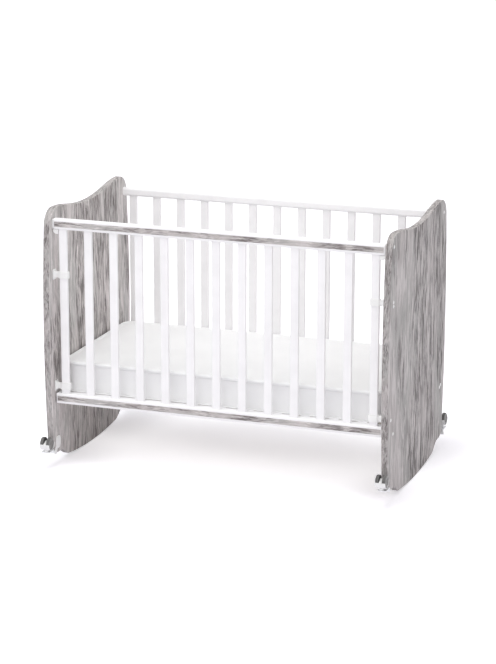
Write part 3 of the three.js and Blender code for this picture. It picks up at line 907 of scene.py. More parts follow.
def mesh_of(form, finishes):
    mesh = bpy.data.meshes.new("form")
    mesh.from_pydata(form.points, [], form.faces)
    layer = mesh.uv_layers.new(name="grain")
    layer.data.foreach_set("uv", [value for pair in form.grain for value in pair])
    mesh.polygons.foreach_set("material_index", form.finishes)
    for finish in finishes:
        mesh.materials.append(finish)
    return mesh


def solid(finish, outline, low, high, place, edge=0.0, steps=3):
    """A prism of one finish, as a mesh."""
    return mesh_of(Form().prism(outline, low, high, place, edge, steps), [finish])


def moulded(outline, low, high, place, edge=0.0, steps=3):
    """A prism of white plastic, as a mesh."""
    return solid(white_plastic, outline, low, high, place, edge, steps)


def bar(finish, node, radius, steps=5, edge=0.0, edge_steps=3):
    """A rounded bar along X that fills a node's box, as a mesh."""
    middle, half = middle_and_half(node)
    section = rounded_rectangle(middle.y, middle.z, half.y, half.z, radius, steps)
    return solid(finish, section, middle.x - half.x, middle.x + half.x, along_x, edge, edge_steps)


def block(finish, low, high):
    """A plain block between two corners, as a mesh."""
    section = [(low[1], low[2]), (high[1], low[2]), (high[1], high[2]), (low[1], high[2])]
    return solid(finish, section, low[0], high[0], along_x)


def worked(base, tools, operation="DIFFERENCE"):
    """The mesh that is left when each tool is cut from the base, or joined to it."""
    scene = bpy.context.scene
    blank = bpy.data.objects.new("blank", base)
    scene.collection.objects.link(blank)
    helpers = []
    for tool in tools:
        helper = bpy.data.objects.new("tool", tool)
        scene.collection.objects.link(helper)
        helpers.append(helper)
        step = blank.modifiers.new("work", "BOOLEAN")
        step.operation = operation
        step.solver = "EXACT"
        step.object = helper
    depsgraph = bpy.context.evaluated_depsgraph_get()
    shape = bpy.data.meshes.new_from_object(blank.evaluated_get(depsgraph))
    for piece in [blank, *helpers]:
        bpy.data.objects.remove(piece)
    return shape


def finished(name, mesh, body, slot, *stands_for):
    """Puts a mesh in the scene, shades it, and hands it to its body."""
    mesh.name = name
    mesh.shade_smooth()
    mesh.set_sharp_from_angle(angle=sharp_angle)
    piece = bpy.data.objects.new(name, mesh)
    bpy.context.scene.collection.objects.link(piece)
    shading = piece.modifiers.new("even_shading", "WEIGHTED_NORMAL")
    shading.keep_sharp = True
    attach(piece, body)
    if stands_for:
        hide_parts(*stands_for)
    return piece


def middle_and_half(node):
    """The middle of a node's box, and half of its size."""
    low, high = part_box(node)
    return (low + high) / 2, (high - low) / 2


def near_and_far(node):
    """How near to the crib's middle a node comes along X, and how far out it reaches."""
    low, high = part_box(node)
    return min(abs(low.x), abs(high.x)), max(abs(low.x), abs(high.x))


# End panels


def bow_corner(radius, height):
    """Centre and lean of a corner circle that touches the bowed edge from inside."""
    reach = math.sqrt((side_bow_radius - radius) ** 2 - (height - waist_height) ** 2)
    lean = math.atan2(height - waist_height, reach)
    return waist_half_depth - side_bow_radius + reach, height, lean


def panel_outline():
    """One half, from the middle of the rocker up to the dip, and then its mirror image."""
    foot_y, foot_z, foot_lean = bow_corner(foot_corner_radius, foot_height + foot_corner_radius)
    horn_y, horn_z, horn_lean = bow_corner(horn_radius, panel_height - horn_radius)
    bow_y = waist_half_depth - side_bow_radius
    sweep = math.asin(rocker_half_span / rocker_radius)
    rocker_end = rocker_radius * (1 - math.cos(sweep))
    inner = foot_y - foot_flat_length
    ramp = inner - rocker_half_span
    run_out = rocker_half_span + ramp * ramp_start_share
    run_in = rocker_half_span + ramp * ramp_end_share
    leave = (run_out, rocker_end + (run_out - rocker_half_span) * math.tan(sweep))
    rocker = (rocker_half_span, rocker_end)
    foot = (inner, foot_height)
    down = -math.pi / 2
    half = arc(0.0, rocker_radius, rocker_radius, down, down + sweep, curve_steps)
    half += pulled(rocker, leave, (run_in, foot_height), foot, curve_steps)
    half.append(foot)
    half += arc(foot_y, foot_z, foot_corner_radius, down, foot_lean, curve_steps)
    half += arc(bow_y, waist_height, side_bow_radius, foot_lean, horn_lean, curve_steps)
    half += arc(horn_y, horn_z, horn_radius, horn_lean, -down, curve_steps)
    dip = panel_height - top_dip
    half += pulled(
        (horn_y, panel_height),
        (horn_y * horn_pull_share, panel_height),
        (horn_y * dip_pull_share, dip),
        (0.0, dip),
        curve_steps,
    )
    half.append((0.0, dip))
    return half + [(-a, b) for a, b in half[-2:0:-1]]


def make_panels():
    """The end panels; their inner face, outer face and edge each have their own print, and the inner
    face's print is painted lighter to stand in for light.
    """
    outline = panel_outline()
    for name, side in ends:
        form = Form().prism(
            outline,
            side * panel_inner_x,
            side * panel_outer_x,
            along_x,
            panel_edge_round,
            panel_edge_steps,
            side=1,
            shift=(side * 2 * heart_spacing, 0.0),
        )
        # Faces on the inner side take the inner print, which is painted lighter against the shade inside
        # the crib
        for index, face in enumerate(form.faces):
            inside = all(abs(form.points[i][0]) < panel_middle_x for i in face)
            if form.finishes[index] == 0 and inside:
                form.finishes[index] = 2
        mesh = mesh_of(form, [panel_print, panel_edge_print, panel_inner_print_painted_light])
        finished(f"panel_{name}", mesh, "crib_frame", "printed_board", f"end_panel_{name}")


# Rails, inlays and slats


def groove_cutter(inlay):
    """Room for an inlay in the front of a rail."""
    middle, half = middle_and_half(inlay)
    slack = Vector((groove_slack, 0.0, groove_slack))
    low = middle - half - slack
    high = middle + half + slack
    low.y -= cutter_overrun
    high.y = middle.y - half.y + groove_depth
    return block(white_lacquer, low, high)


def catch_cutters():
    """Room for the catch bolts in the ends of the top rail."""
    cutters = []
    middle, half = middle_and_half("front_top_rail")
    for name, side in ends:
        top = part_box(f"catch_bolt_{name}")[1].z + bolt_clearance
        width = bolt_half_width + bolt_clearance
        mouth = side * (half.x + cutter_overrun)
        back = side * (half.x - bolt_length - bolt_clearance)
        low = (back, middle.y - width, top - bolt_height - 2 * bolt_clearance)
        cutters.append(block(white_lacquer, low, (mouth, middle.y + width, top)))
    return cutters


def make_rails():
    """The drop side's grooved rails with their inlays, and the plain rails of the back."""
    for place, cutters in (("top", catch_cutters()), ("bottom", [])):
        node = f"front_{place}_rail"
        inlay = f"front_{place}_inlay"
        rail = bar(white_lacquer, node, front_rail_round, edge=front_rail_end_round, edge_steps=4)
        shape = worked(rail, [groove_cutter(inlay), *cutters])
        finished(f"drop_side_{place}_rail", shape, "drop_side", "white_lacquer", node)
        strip = bar(inlay_print, inlay, inlay_edge_round, 2, inlay_edge_round, 2)
        finished(f"drop_side_{place}_inlay", strip, "drop_side", "printed_board", inlay)
    for place in ("top", "bottom"):
        node = f"rear_{place}_rail"
        rail = bar(white_lacquer, node, rear_rail_round)
        finished(f"back_{place}_rail", rail, "crib_frame", "white_lacquer", node)


def make_slats():
    """The slats and end posts of the drop side, and the slats of the back."""
    for body, name, names in (
        ("drop_side", "drop_side_slats", ("front_slat_", "front_post_")),
        ("crib_frame", "back_slats", ("rear_slat_",)),
    ):
        form = Form()
        nodes = sorted(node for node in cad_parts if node.startswith(names))
        for node in nodes:
            middle, half = middle_and_half(node)
            section = rounded_rectangle(middle.x, middle.y, half.x, half.y, slat_round)
            form.prism(section, middle.z - half.z, middle.z + half.z, along_z)
        finished(name, mesh_of(form, [white_lacquer]), body, "white_lacquer", *nodes)


# Guides, keepers and catches


def guide_neck(side, y, z, ring_x):
    """A neck that flares out to the flange both ways."""
    near = panel_inner_x - guide_flange_thickness
    waist = near - 2 * guide_neck_half_depth
    flare_end = near + guide_flange_thickness / 3
    flare_depth = guide_flange_half_width * guide_flare_depth_share - guide_neck_half_depth
    flare_height = guide_flange_half_height * guide_flare_height_share - guide_neck_half_height
    levels = [(ring_x, 0.0), (waist, 0.0)]
    for i in range(1, guide_flare_steps + 1):
        t = i / guide_flare_steps
        levels.append((waist + (flare_end - waist) * t, 1 - math.sqrt(1 - t * t)))
    rings = []
    for x, flare in levels:
        half_depth = guide_neck_half_depth + flare_depth * flare
        half_height = guide_neck_half_height + flare_height * flare
        section = rounded_rectangle(y, z, half_depth, half_height, guide_neck_round)
        rings.append([(a, b, side * x) for a, b in section])
    return mesh_of(Form().stack(rings, along_x), [white_plastic])


def make_guide(level, name, side):
    """A ring that a post of the drop side runs in, on a flared neck and a flange."""
    node = f"guide_{level}_{name}"
    middle, _ = middle_and_half(node)
    post, half = middle_and_half(f"front_post_{name}")
    low = middle.z - guide_ring_half_height
    high = middle.z + guide_ring_half_height
    grown = guide_running + guide_wall
    outer = rounded_rectangle(post.x, post.y, half.x + grown, half.y + grown, guide_ring_round, 7)
    ring = moulded(outer, low, high, along_z, guide_edge_round, 4)
    plate = rounded_rectangle(
        middle.y, middle.z, guide_flange_half_width, guide_flange_half_height, guide_flange_round
    )
    flange_x = side * (panel_inner_x - guide_flange_thickness)
    flange = moulded(plate, flange_x, side * panel_inner_x, along_x, guide_flange_edge_round)
    ring_x = abs(post.x) + half.x + guide_running + guide_wall / 2
    neck = guide_neck(side, middle.y, middle.z, ring_x)
    bore_outline = rounded_rectangle(
        post.x, post.y, half.x + guide_running, half.y + guide_running, slat_round + guide_running
    )
    bore = moulded(bore_outline, low - cutter_overrun, high + cutter_overrun, along_z)
    shape = worked(worked(ring, [neck, flange], "UNION"), [bore])
    finished(f"post_guide_{level}_{name}", shape, "crib_frame", "white_plastic", node)


def make_keeper(name, side):
    """The plate on the panel whose window takes the catch bolt, and its two screws."""
    node = f"catch_keeper_{name}"
    middle, half = middle_and_half(node)
    plate = bar(white_plastic, node, keeper_round, 6, keeper_edge_round)
    width = bolt_half_width + keeper_margin
    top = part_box(f"catch_bolt_{name}")[1].z + keeper_margin
    low = (middle.x - 2 * half.x, middle.y - width, top - bolt_height - 2 * keeper_margin)
    high = (middle.x + 2 * half.x, middle.y + width, top)
    shape = worked(plate, [block(white_plastic, low, high)])
    rise = half.z - keeper_screw_inset
    seat = side * (panel_inner_x - 2 * half.x)
    screws = screw_pair(middle.y, middle.z - rise, middle.z + rise, seat, -side)
    finished(f"keeper_screws_{name}", screws, "crib_frame", "hinge_steel")
    finished(f"keeper_plate_{name}", shape, "crib_frame", "white_plastic", node)


def trigger_outline(side, top, bottom, outer):
    """The trigger's profile in height and reach, with a quarter round on its outer foot."""
    inner = outer - trigger_length
    reach = (top - bottom) * trigger_round_share
    points = [(top, inner), (bottom, inner)]
    points += arc(bottom + reach, outer - reach, reach, math.pi, math.pi / 2, curve_steps)
    points += [(bottom + reach, outer), (top, outer)]
    return [(a, side * b) for a, b in points]


def make_catch(name, side):
    """The sliding bolt in the top rail's end, with its tongue and its trigger below."""
    node = f"catch_bolt_{name}"
    middle, half = middle_and_half(node)
    outer = abs(middle.x) + half.x
    rail_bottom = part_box("front_top_rail")[0].z
    bolt_top = middle.z + half.z
    bolt_z = bolt_top - bolt_height / 2
    section = rounded_rectangle(
        middle.y, bolt_z, bolt_half_width, bolt_height / 2, bolt_edge_round, 3
    )
    rod = moulded(section, side * (outer - bolt_length), side * outer, along_x, bolt_edge_round)
    inner_x = side * (outer - tongue_inner_inset)
    outer_x = side * (outer - tongue_outer_inset)
    low = (inner_x, middle.y - bolt_half_width, rail_bottom - tongue_drop)
    tongue = block(white_plastic, low, (outer_x, middle.y + bolt_half_width, bolt_z))
    profile = trigger_outline(side, rail_bottom - bolt_clearance, rail_bottom - trigger_drop, outer)
    trigger = moulded(profile, middle.y - half.y, middle.y + half.y, along_y, bolt_edge_round)
    shape = worked(rod, [tongue, trigger], "UNION")
    finished(f"catch_{name}", shape, f"catch_{name}", "white_plastic", node)


# Screws, and caps on the panels' outer faces


def hexagon(apothem, a, b, c):
    """A six-sided ring with as many points as the round rings of a screw."""
    points = []
    for i in range(round_sides):
        turn = 2 * math.pi * i / round_sides
        radius = apothem / math.cos(turn % (math.pi / 3) - math.pi / 6)
        points.append((a + radius * math.cos(turn), b + radius * math.sin(turn), c))
    return points


def screw_pair(y, low_z, high_z, seat, way):
    """Two domed socket screws whose heads stand on a seat and face one way along X."""
    form = Form()
    height = way * screw_radius * screw_height_share
    socket = screw_radius * socket_share
    for z in (low_z, high_z):
        rings = []
        for turn in quarter(screw_round_steps):
            share = screw_face_share + (1 - screw_face_share) * math.cos(turn)
            ring = circle(y, z, screw_radius * share)
            rings.append([(a, b, seat + height * math.sin(turn)) for a, b in ring])
        rings.append(hexagon(socket, y, z, seat + height))
        rings.append(hexagon(socket * socket_taper_share, y, z, seat + height * socket_floor_share))
        form.stack(rings, along_x)
    return mesh_of(form, [zinc_steel])


def make_caps():
    """Domed caps over the bolts in the panels' outer faces."""
    dome = [(cap_radius, 0.0)]
    for turn in quarter(cap_round_steps)[1:]:
        dome.append((cap_radius * math.cos(turn) + cap_bulge, cap_height * math.sin(turn)))
    for name, side in ends:
        form = Form()
        profile = [(radius, side * (panel_outer_x + height)) for radius, height in dome]
        for y, z in cap_places:
            form.turned(profile, along_x, y, z)
        finished(f"panel_caps_{name}", mesh_of(form, [white_plastic]), "crib_frame", "white_plastic")


# Slatted base


def make_base():
    """Two lacquered side rails with pine slats between them."""
    low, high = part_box("mattress_base")
    form = Form()
    rail_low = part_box("front_bottom_rail")[0].z + base_hidden_edge
    half_rail = base_rail_width / 2
    rail_z = (high.z + rail_low) / 2
    for face in (-1, 1):
        section = rounded_rectangle(
            face * (high.y - half_rail), rail_z, half_rail, (high.z - rail_low) / 2, base_edge_round, 3
        )
        form.prism(section, low.x, high.x, along_x, base_edge_round, 2, side=1, end=1)
    first_x = low.x + base_end_inset
    pitch = -2 * first_x / (base_slat_count - 1)
    half_slat = base_slat_thickness / 2
    slat_z = high.z - base_slat_drop - half_slat
    slat_end = high.y - base_rail_width + base_slat_bite
    for i in range(base_slat_count):
        section = rounded_rectangle(
            slat_z, first_x + i * pitch, half_slat, base_slat_width / 2, base_edge_round, 3
        )
        shift = (base_grain_step[0] * i, base_grain_step[1] * i)
        form.prism(section, -slat_end, slat_end, along_y, base_edge_round, 2, shift=shift)
    mesh = mesh_of(form, [base_timber, white_lacquer])
    finished("slatted_base", mesh, "crib_frame", "base_timber", "mattress_base")


# Mattress


def mattress_ring(middle, half, drawn, z):
    """The mattress's rounded outline, drawn in and set at a height."""
    half_x = half.x - drawn
    half_y = half.y - drawn
    radius = max(mattress_corner_radius - drawn, mattress_least_radius)
    straight_x = half_x - radius
    straight_y = half_y - radius
    right = math.pi / 2

    def straight(start, end, steps):
        return [tuple(s + (e - s) * i / steps for s, e in zip(start, end)) for i in range(steps)]

    def corner(a, b, turn):
        return arc(a, b, radius, turn, turn + right, mattress_corner_steps)

    points = straight((-straight_x, -half_y), (straight_x, -half_y), mattress_long_steps)
    points += corner(straight_x, -straight_y, -right)
    points += straight((half_x, -straight_y), (half_x, straight_y), mattress_short_steps)
    points += corner(straight_x, straight_y, 0.0)
    points += straight((straight_x, half_y), (-straight_x, half_y), mattress_long_steps)
    points += corner(-straight_x, straight_y, right)
    points += straight((-half_x, straight_y), (-half_x, -straight_y), mattress_short_steps)
    points += corner(-straight_x, -straight_y, math.pi)
    return [(middle.x + a, middle.y + b, z) for a, b in points]


def mattress_bead(radius, centre_z, start, end):
    """Inset and height round a piped bead, between two angles in degrees."""
    rows = []
    for i in range(mattress_roll_steps + 1):
        turn = math.radians(start + (end - start) * i / mattress_roll_steps)
        rows.append((radius * (1 - math.cos(turn)), centre_z + radius * math.sin(turn)))
    return rows


def mattress_profile(low_z, rim, half_y):
    """Inset and height of each ring, from the underside to the middle of the top."""
    roll = mattress_roll_radius
    foot = mattress_foot_radius
    wall_low = low_z + 2 * foot + mattress_seam_half_gap
    wall_high = rim - 2 * roll - mattress_seam_half_gap
    wall_inset = roll * mattress_wall_share
    rows = [(share * roll, low_z) for share in mattress_underside_shares]
    rows += mattress_bead(foot, low_z + foot, *foot_bead_turns)
    rows.append((foot + mattress_seam_depth / 2, wall_low - mattress_seam_lip))
    for i in range(mattress_wall_steps + 1):
        share = i / mattress_wall_steps
        bow = 1 - (2 * share - 1) ** 2
        drawn = foot * (1 - share) + wall_inset * share
        rows.append((drawn + mattress_draw_in * bow, wall_low + (wall_high - wall_low) * share))
    rows.append((wall_inset + mattress_seam_depth, wall_high + mattress_seam_lip))
    rows += mattress_bead(roll, rim - roll, *top_bead_turns)
    seam = 2 * roll
    rows += [(seam + drawn, rim + rise) for drawn, rise in seam_rows]
    reach = half_y - seam - mattress_crown_stop
    for i in range(1, mattress_top_steps + 1):
        share = i / mattress_top_steps
        rise = mattress_crown * math.sin(math.pi / 2 * share**mattress_crown_power)
        z = rim - mattress_crown_drop + rise * mattress_crown_share
        rows.append((seam + mattress_crown_start + reach * share, z))
    return rows


def gathered_at(distance):
    """How far a sewn edge puffs out or is drawn in along its length, from -1 to 1."""
    drift = math.sin(2 * math.pi * distance / gather_drift_length)
    short = math.sin(2 * math.pi * distance / gather_length + gather_drift * drift)
    long = math.sin(2 * math.pi * distance / gather_long_length + gather_start)
    return 0.5 * short + 0.5 * long * drift


def softened(rings, rows, top_seam, foot_seam):
    """Gathers the cloth beside its seams and lets its faces wave a little."""
    cloth = []
    for ring, (drawn, z) in zip(rings, rows):
        on_wall = foot_seam < z < top_seam
        on_top = z > top_seam and drawn > 2 * mattress_roll_radius
        near = 0.0
        if on_wall:
            near = math.exp((z - top_seam) / gather_reach) + math.exp((foot_seam - z) / gather_reach)
        if on_top:
            near = math.exp((2 * mattress_roll_radius - drawn) / gather_reach)
        distance = 0.0
        moved = []
        for i, spot in enumerate(ring):
            point = Vector(spot)
            ahead = Vector(ring[(i + 1) % len(ring)])
            along = ahead - Vector(ring[i - 1])
            wave = 1.0
            for place, (turns, start) in zip(point, mattress_waves):
                wave *= math.sin(turns * math.pi * place / mattress_wave_length + start)
            depth = gather_height * near * (1 - gathered_at(distance)) / 2
            depth += mattress_wave_height * (1 + wave) / 2
            if on_wall:
                point -= Vector((along.y, -along.x, 0.0)).normalized() * depth
            if on_top:
                point.z -= depth
            moved.append(tuple(point))
            distance += (ahead - Vector(spot)).length
        cloth.append(moved)
    return cloth


def add_stitch(form, middle, along, outward):
    """One stitch: a short thread that arches out of the cloth."""
    side = outward.cross(along)
    rings = []
    for share, thickness in stitch_shape:
        arch = stitch_radius * (1 - 4 * share * share)
        ring = circle(0.0, arch, stitch_radius * thickness, stitch_sides)
        rings.append([(a, b, stitch_length * share) for a, b in ring])
    form.stack(rings, lambda a, b, c: tuple(middle + side * a + outward * b + along * c))


def make_stitches(ring):
    """A row of stitches that holds the piping to the top, all the way round."""
    form = Form()
    distance = 0.0
    due = 0.0
    for spot, ahead in zip(ring, ring[1:] + ring[:1]):
        start = Vector(spot)
        run = Vector(ahead) - start
        along = run.normalized()
        while due < distance + run.length:
            add_stitch(form, start + along * (due - distance), along, Vector((0.0, 0.0, 1.0)))
            due += stitch_pitch
        distance += run.length
    finished("mattress_stitches", mesh_of(form, [piping_cloth]), "mattress", "cover_cloth")


def make_mattress():
    """A foam mattress in a cover with piped edges, a slight crown and stitched piping."""
    low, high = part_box("mattress")
    middle, half = middle_and_half("mattress")
    rim = high.z - mattress_crown
    top_seam = rim - 2 * mattress_roll_radius
    foot_seam = low.z + 2 * mattress_foot_radius
    rows = mattress_profile(low.z, rim, half.y)
    rings = [mattress_ring(middle, half, drawn, z) for drawn, z in rows]
    rings = softened(rings, rows, top_seam, foot_seam)
    form = Form().stack(rings, along_z, side=1, end=0)
    for index, face in enumerate(form.faces):
        height = sum(form.points[i][2] for i in face) / len(face)
        x, y, _ = form.points[face[0]]
        inward = min(half.x - abs(x - middle.x), half.y - abs(y - middle.y))
        on_bead = height < foot_seam or height > top_seam
        if on_bead and inward < piping_share * mattress_roll_radius:
            form.finishes[index] = 2
        elif height > top_seam:
            form.finishes[index] = 0
    mesh = mesh_of(form, [cover_cloth, border_cloth, piping_cloth])
    piece = finished("foam_mattress", mesh, "mattress", "cover_cloth", "mattress")
    stitched = 2 * mattress_roll_radius + stitch_setback
    make_stitches(next(ring for ring, (drawn, _) in zip(rings, rows) if drawn == stitched))


# Casters


def tyre_profile(inner, outer, radius):
    """Radius and place along the axle of one wheel, from its inner face to its hub."""
    edge = wheel_edge_round
    inner_turns = quarter(wheel_edge_steps)[1:]
    rows = [(axle_radius, inner), (radius - edge, inner)]
    for turn in inner_turns:
        depth = edge * wheel_inner_share * (1 - math.cos(turn))
        rows.append((radius - edge * (1 - math.sin(turn)), inner + depth))
    for turn in quarter(wheel_edge_steps):
        drawn = 2 * edge * (1 - math.cos(turn))
        rows.append((radius - drawn, outer - 2 * edge * (1 - math.sin(turn))))
    rows.append((hub_radius, outer - wheel_slack))
    rows.append((hub_radius - hub_recess, outer - hub_recess))
    rows += [(cap, outer - hub_recess + rise) for cap, rise in axle_cap]
    return rows


def make_wheels(place):
    """Two wheels on one axle: treads, hub faces, and inner faces painted near black as the shade between
    the wheels.
    """
    node = f"caster_wheels_{place}"
    middle, half = middle_and_half(node)
    inner = half.x - wheel_width
    profile = tyre_profile(inner, half.x, half.z)
    whole = [(radius, middle.x - c) for radius, c in reversed(profile)]
    whole += [(radius, middle.x + c) for radius, c in profile]
    form = Form().turned(whole, along_x, middle.y, middle.z, wheel_sides)
    for index, face in enumerate(form.faces):
        spots = [Vector(form.points[i]) - middle for i in face]
        radius = max(math.hypot(spot.y, spot.z) for spot in spots)
        # Faces between the wheels take the painted shade
        if all(abs(spot.x) < inner + inner_face_slack for spot in spots):
            form.finishes[index] = 2
        elif radius < wheel_face_radius + wheel_slack:
            form.finishes[index] = 1
    mesh = mesh_of(form, [tread_rubber, hub_plastic, inner_rubber_painted_shade])
    finished(f"twin_wheels_{place}", mesh, f"wheels_{place}", "wheel_rubber", node)


def half_round(middle, radius, start, end):
    """An arc round a wheel's middle, with its end."""
    points = arc(middle.y, middle.z, radius, start, end, fork_steps)
    points.append((middle.y + radius * math.cos(end), middle.z))
    return points


def make_fork(place, face):
    """The hood over the wheels, on a web and a boss that turns on the king pin."""
    node = f"caster_fork_{place}"
    wheel, half = middle_and_half(f"caster_wheels_{place}")
    low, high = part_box(node)
    inner = half.z + fender_gap
    outer = inner + fender_thickness
    band = half_round(wheel, outer, math.pi, 2 * math.pi)
    band += half_round(wheel, inner, 2 * math.pi, math.pi)
    fender = moulded(band, low.x, high.x, along_x, fork_round)
    gusset = half_round(wheel, inner + fork_web_bite, math.pi, 2 * math.pi)
    gusset += arc(wheel.y, wheel.z, boss_radius * fork_web_share, *fork_web_turns, fork_web_steps)
    half_web = fork_web_thickness / 2
    web = moulded(gusset, wheel.x - half_web, wheel.x + half_web, along_x, fork_round)
    stem_y = wheel.y + face * fork_trail
    stem = circle(wheel.x, stem_y, boss_radius, caster_sides)
    boss = moulded(stem, low.z, wheel.z - inner, along_z, fork_round)
    axle = circle(wheel.y, wheel.z, axle_radius + pin_clearance)
    reach = axle_bore_half_length
    axle_bore = moulded(axle, wheel.x - reach, wheel.x + reach, along_x)
    king = circle(wheel.x, stem_y, king_pin_radius + pin_clearance)
    king_bore = moulded(king, low.z - cutter_overrun, low.z + king_pin_height, along_z)
    shape = worked(worked(fender, [web, boss], "UNION"), [axle_bore, king_bore])
    finished(f"caster_hood_{place}", shape, f"fork_{place}", "white_plastic", node)


def hinge(face, radius):
    """A circle round a caster's hinge."""
    return circle(face * hinge_y, hinge_z, radius, caster_sides)


def make_leaf(place, side, face):
    """The cranked steel leaf: barrel, web, plate, king pin and its riveted foot."""
    node = f"caster_leaf_{place}"
    low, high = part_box(node)
    near, far = near_and_far(node)
    tip = max(abs(low.y), abs(high.y))
    wheel, _ = middle_and_half(f"caster_wheels_{place}")
    stem = (side * panel_middle_x, wheel.y + face * fork_trail)
    top = high.z - king_pin_height
    foot = top - leaf_thickness
    half_barrel = leaf_barrel_radius / 2
    bend = hinge_y + foot - hinge_z + leaf_thickness
    plate_y = bend - leaf_barrel_radius
    crank = [
        (hinge_y - half_barrel, hinge_z),
        (hinge_y + half_barrel, hinge_z),
        (bend + half_barrel, foot + leaf_bend_lift),
        (bend - half_barrel, top),
        (plate_y, top),
    ]
    plan = rounded_rectangle(
        side * (near + far) / 2,
        face * (tip + plate_y) / 2,
        (far - near) / 2,
        (tip - plate_y) / 2,
        leaf_corner_round,
    )

    def steel(outline, start, end, along, edge=0.0):
        return solid(zinc_steel, outline, start, end, along, edge, 2)

    ends_x = (side * near, side * far)
    barrel = steel(hinge(face, leaf_barrel_radius), *ends_x, along_x, leaf_edge_round)
    web = steel([(face * y, z) for y, z in crank], *ends_x, along_x, leaf_web_round)
    plate = steel(plan, foot, top, along_z, leaf_edge_round)
    pin_outline = circle(*stem, king_pin_radius, caster_sides)
    pin = steel(pin_outline, top - king_pin_root, high.z, along_z, leaf_web_round)
    start, end = side * (near - hinge_bore_overrun), side * (far + hinge_bore_overrun)
    bore = steel(hinge(face, hinge_pin_radius + pin_clearance), start, end, along_x)
    sink_profile = [
        (rivet_sink_radius, foot - rivet_sink_depth),
        (rivet_sink_radius, foot),
        (rivet_radius, foot + rivet_sink_depth),
    ]
    rivet_profile = [
        (rivet_radius - 2 * rivet_set_back, foot + rivet_set_back),
        (rivet_radius - rivet_set_back, foot + 2 * rivet_set_back),
        (rivet_radius - rivet_set_back, foot + 2 * rivet_sink_depth),
    ]
    sink = mesh_of(Form().turned(sink_profile, along_z, *stem), [zinc_steel])
    rivet = mesh_of(Form().turned(rivet_profile, along_z, *stem), [zinc_steel])
    drilled = worked(worked(barrel, [web, plate, pin], "UNION"), [bore, sink])
    shape = worked(drilled, [rivet], "UNION")
    finished(f"hinge_leaf_{place}", shape, f"leaf_{place}", "hinge_steel", node)


def make_cheek(place, side, face):
    """The cheek on the panel: pad, arm, eye, hinge pin with its head, and two screws."""
    node = f"caster_cheek_{place}"
    near, far = near_and_far(node)
    pad_y = face * cheek_pad_y
    pad_outline = rounded_rectangle(
        pad_y, cheek_pad_z, cheek_pad_width / 2, cheek_pad_height / 2, cheek_pad_round, 8
    )
    run = Vector((hinge_y - cheek_pad_y, hinge_z - cheek_pad_z))
    across = Vector((-run.y, run.x)).normalized() * (cheek_arm_width / 2)
    arm_outline = [
        (face * (cheek_pad_y + across.x), cheek_pad_z + across.y),
        (face * (cheek_pad_y - across.x), cheek_pad_z - across.y),
        (face * (hinge_y - across.x), hinge_z - across.y),
        (face * (hinge_y + across.x), hinge_z + across.y),
    ]

    def part(outline, start, end, edge=0.0, steps=3):
        return moulded(outline, side * start, side * end, along_x, edge, steps)

    pad = part(pad_outline, near, panel_inner_x, cheek_pad_edge_round, 4)
    arm = part(arm_outline, near, panel_inner_x, cheek_edge_round)
    eye = part(hinge(face, cheek_eye_radius), near, panel_inner_x, cheek_edge_round)
    pin = part(hinge(face, hinge_pin_radius), near + cheek_pin_inset, far - cheek_pin_stop)
    head = part(hinge(face, hinge_head_radius), far - hinge_head_length, far, hinge_head_round)
    shape = worked(pad, [arm, eye, pin, head], "UNION")
    finished(f"hinge_cheek_{place}", shape, "crib_frame", "white_plastic", node)
    low_z = cheek_pad_z - cheek_screw_rise
    screws = screw_pair(pad_y, low_z, cheek_pad_z + cheek_screw_rise, side * near, -side)
    finished(f"cheek_screws_{place}", screws, "crib_frame", "hinge_steel")


# Camera, light and floor


def make_camera():
    camera = bpy.data.objects.new("camera", bpy.data.cameras.new("camera"))
    bpy.context.scene.collection.objects.link(camera)
    camera.data.sensor_fit = "VERTICAL"
    camera.data.sensor_height = camera_film
    camera.data.lens = camera_lens
    camera.data.clip_end = camera_reach
    camera.location = camera_place
    camera.rotation_euler = (camera_aim - camera_place).to_track_quat("-Z", "Y").to_euler()
    camera.rotation_euler.rotate_axis("Z", camera_roll)
    bpy.context.scene.camera = camera


def make_room():
    """A white room that shows as plain white and lights the crib softly from all round."""
    world = bpy.data.worlds.new("white_room")
    world.use_nodes = True
    bpy.context.scene.world = world
    tree = Tree(world.node_tree)
    background = tree.nodes["Background"]
    background.inputs["Color"].default_value = (1.0, 1.0, 1.0, 1.0)
    inputs = {0: tree.seen(), 2: room_brightness, 3: 1.0}
    level = tree.node("ShaderNodeMix", inputs, data_type="FLOAT")[0]
    tree.feed(background.inputs["Strength"], level)


def make_lamps():
    """Three large soft lamps, so that no side of the crib falls into shade."""
    for name, place, width, power in soft_lamps:
        lamp = bpy.data.lights.new(f"soft_lamp_{name}", "AREA")
        lamp.shape = "SQUARE"
        lamp.size = width
        lamp.energy = power
        holder = bpy.data.objects.new(f"soft_lamp_{name}", lamp)
        bpy.context.scene.collection.objects.link(holder)
        holder.location = place
        holder.rotation_euler = (soft_lamp_aim - place).to_track_quat("-Z", "Y").to_euler()


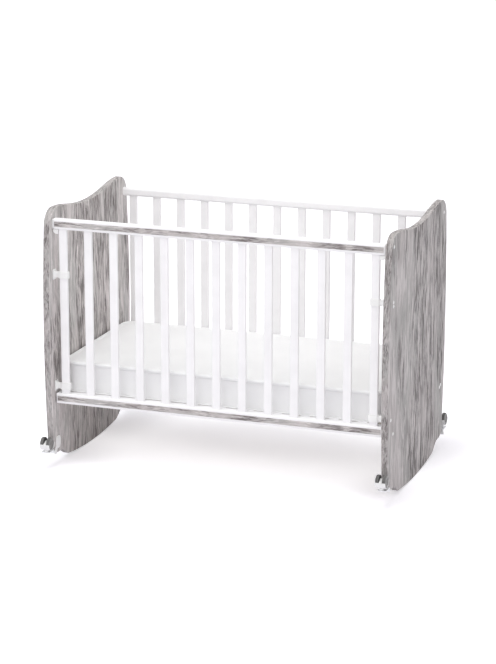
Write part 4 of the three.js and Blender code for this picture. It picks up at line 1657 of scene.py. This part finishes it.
def make_floor():
    """A floor that glows enough to show as white where no shadow falls, and is clear from below. Its
    glow is dimmed under the crib and round the feet, which paints shadow there.
    """
    material = bpy.data.materials.new("white_floor")
    material.use_nodes = True
    tree = Tree(material.node_tree)
    tree.nodes.remove(tree.nodes["Principled BSDF"])
    # Painted shadow under the crib: the glow is weaker near a point behind its middle
    crib_distance = tree.distance(tree.place(), crib_shadow_place, crib_shadow_shape)
    bright = tree.spread(
        crib_distance, floor_glow_start, floor_glow_end, floor_glow_near, floor_glow_far
    )
    # Painted soft shadow round each foot: the glow is taken down near the feet
    quadrant = tree.node("ShaderNodeVectorMath", {0: tree.place()}, operation="ABSOLUTE")["Vector"]
    foot_distance = tree.distance(quadrant, foot_shadow_place, foot_shadow_shape)
    dark = tree.spread(foot_distance, 0.0, foot_shadow_reach, foot_shadow_depth, 0.0)
    strength = tree.times(tree.seen(), tree.minus(bright, dark))
    paint = tree.node("ShaderNodeBsdfDiffuse", {"Color": floor_white})["BSDF"]
    glow = tree.node("ShaderNodeEmission", {"Strength": strength})["Emission"]
    both = tree.node("ShaderNodeAddShader", {0: paint, 1: glow})["Shader"]
    clear = tree.node("ShaderNodeBsdfTransparent")["BSDF"]
    below = tree.node("ShaderNodeNewGeometry")["Backfacing"]
    shader = tree.node("ShaderNodeMixShader", {0: below, 1: both, 2: clear})["Shader"]
    tree.feed(tree.nodes["Material Output"].inputs["Surface"], shader)
    mesh = bpy.data.meshes.new("floor")
    h = floor_half
    mesh.from_pydata([(-h, -h, 0), (h, -h, 0), (h, h, 0), (-h, h, 0)], [], [(0, 1, 2, 3)])
    mesh.materials.append(material)
    floor = bpy.data.objects.new("floor", mesh)
    bpy.context.scene.collection.objects.link(floor)


bpy.context.scene.view_settings.view_transform = "Standard"
make_camera()
make_room()
make_lamps()
make_floor()
make_panels()
make_rails()
make_slats()
make_base()
make_mattress()
make_caps()
for end_name, end_side in ends:
    make_guide("upper", end_name, end_side)
    make_guide("lower", end_name, end_side)
    make_keeper(end_name, end_side)
    make_catch(end_name, end_side)
    for row, row_face in (("front", -1), ("rear", 1)):
        corner = f"{row}_{end_name}"
        make_wheels(corner)
        make_fork(corner, row_face)
        make_leaf(corner, end_side, row_face)
        make_cheek(corner, end_side, row_face)
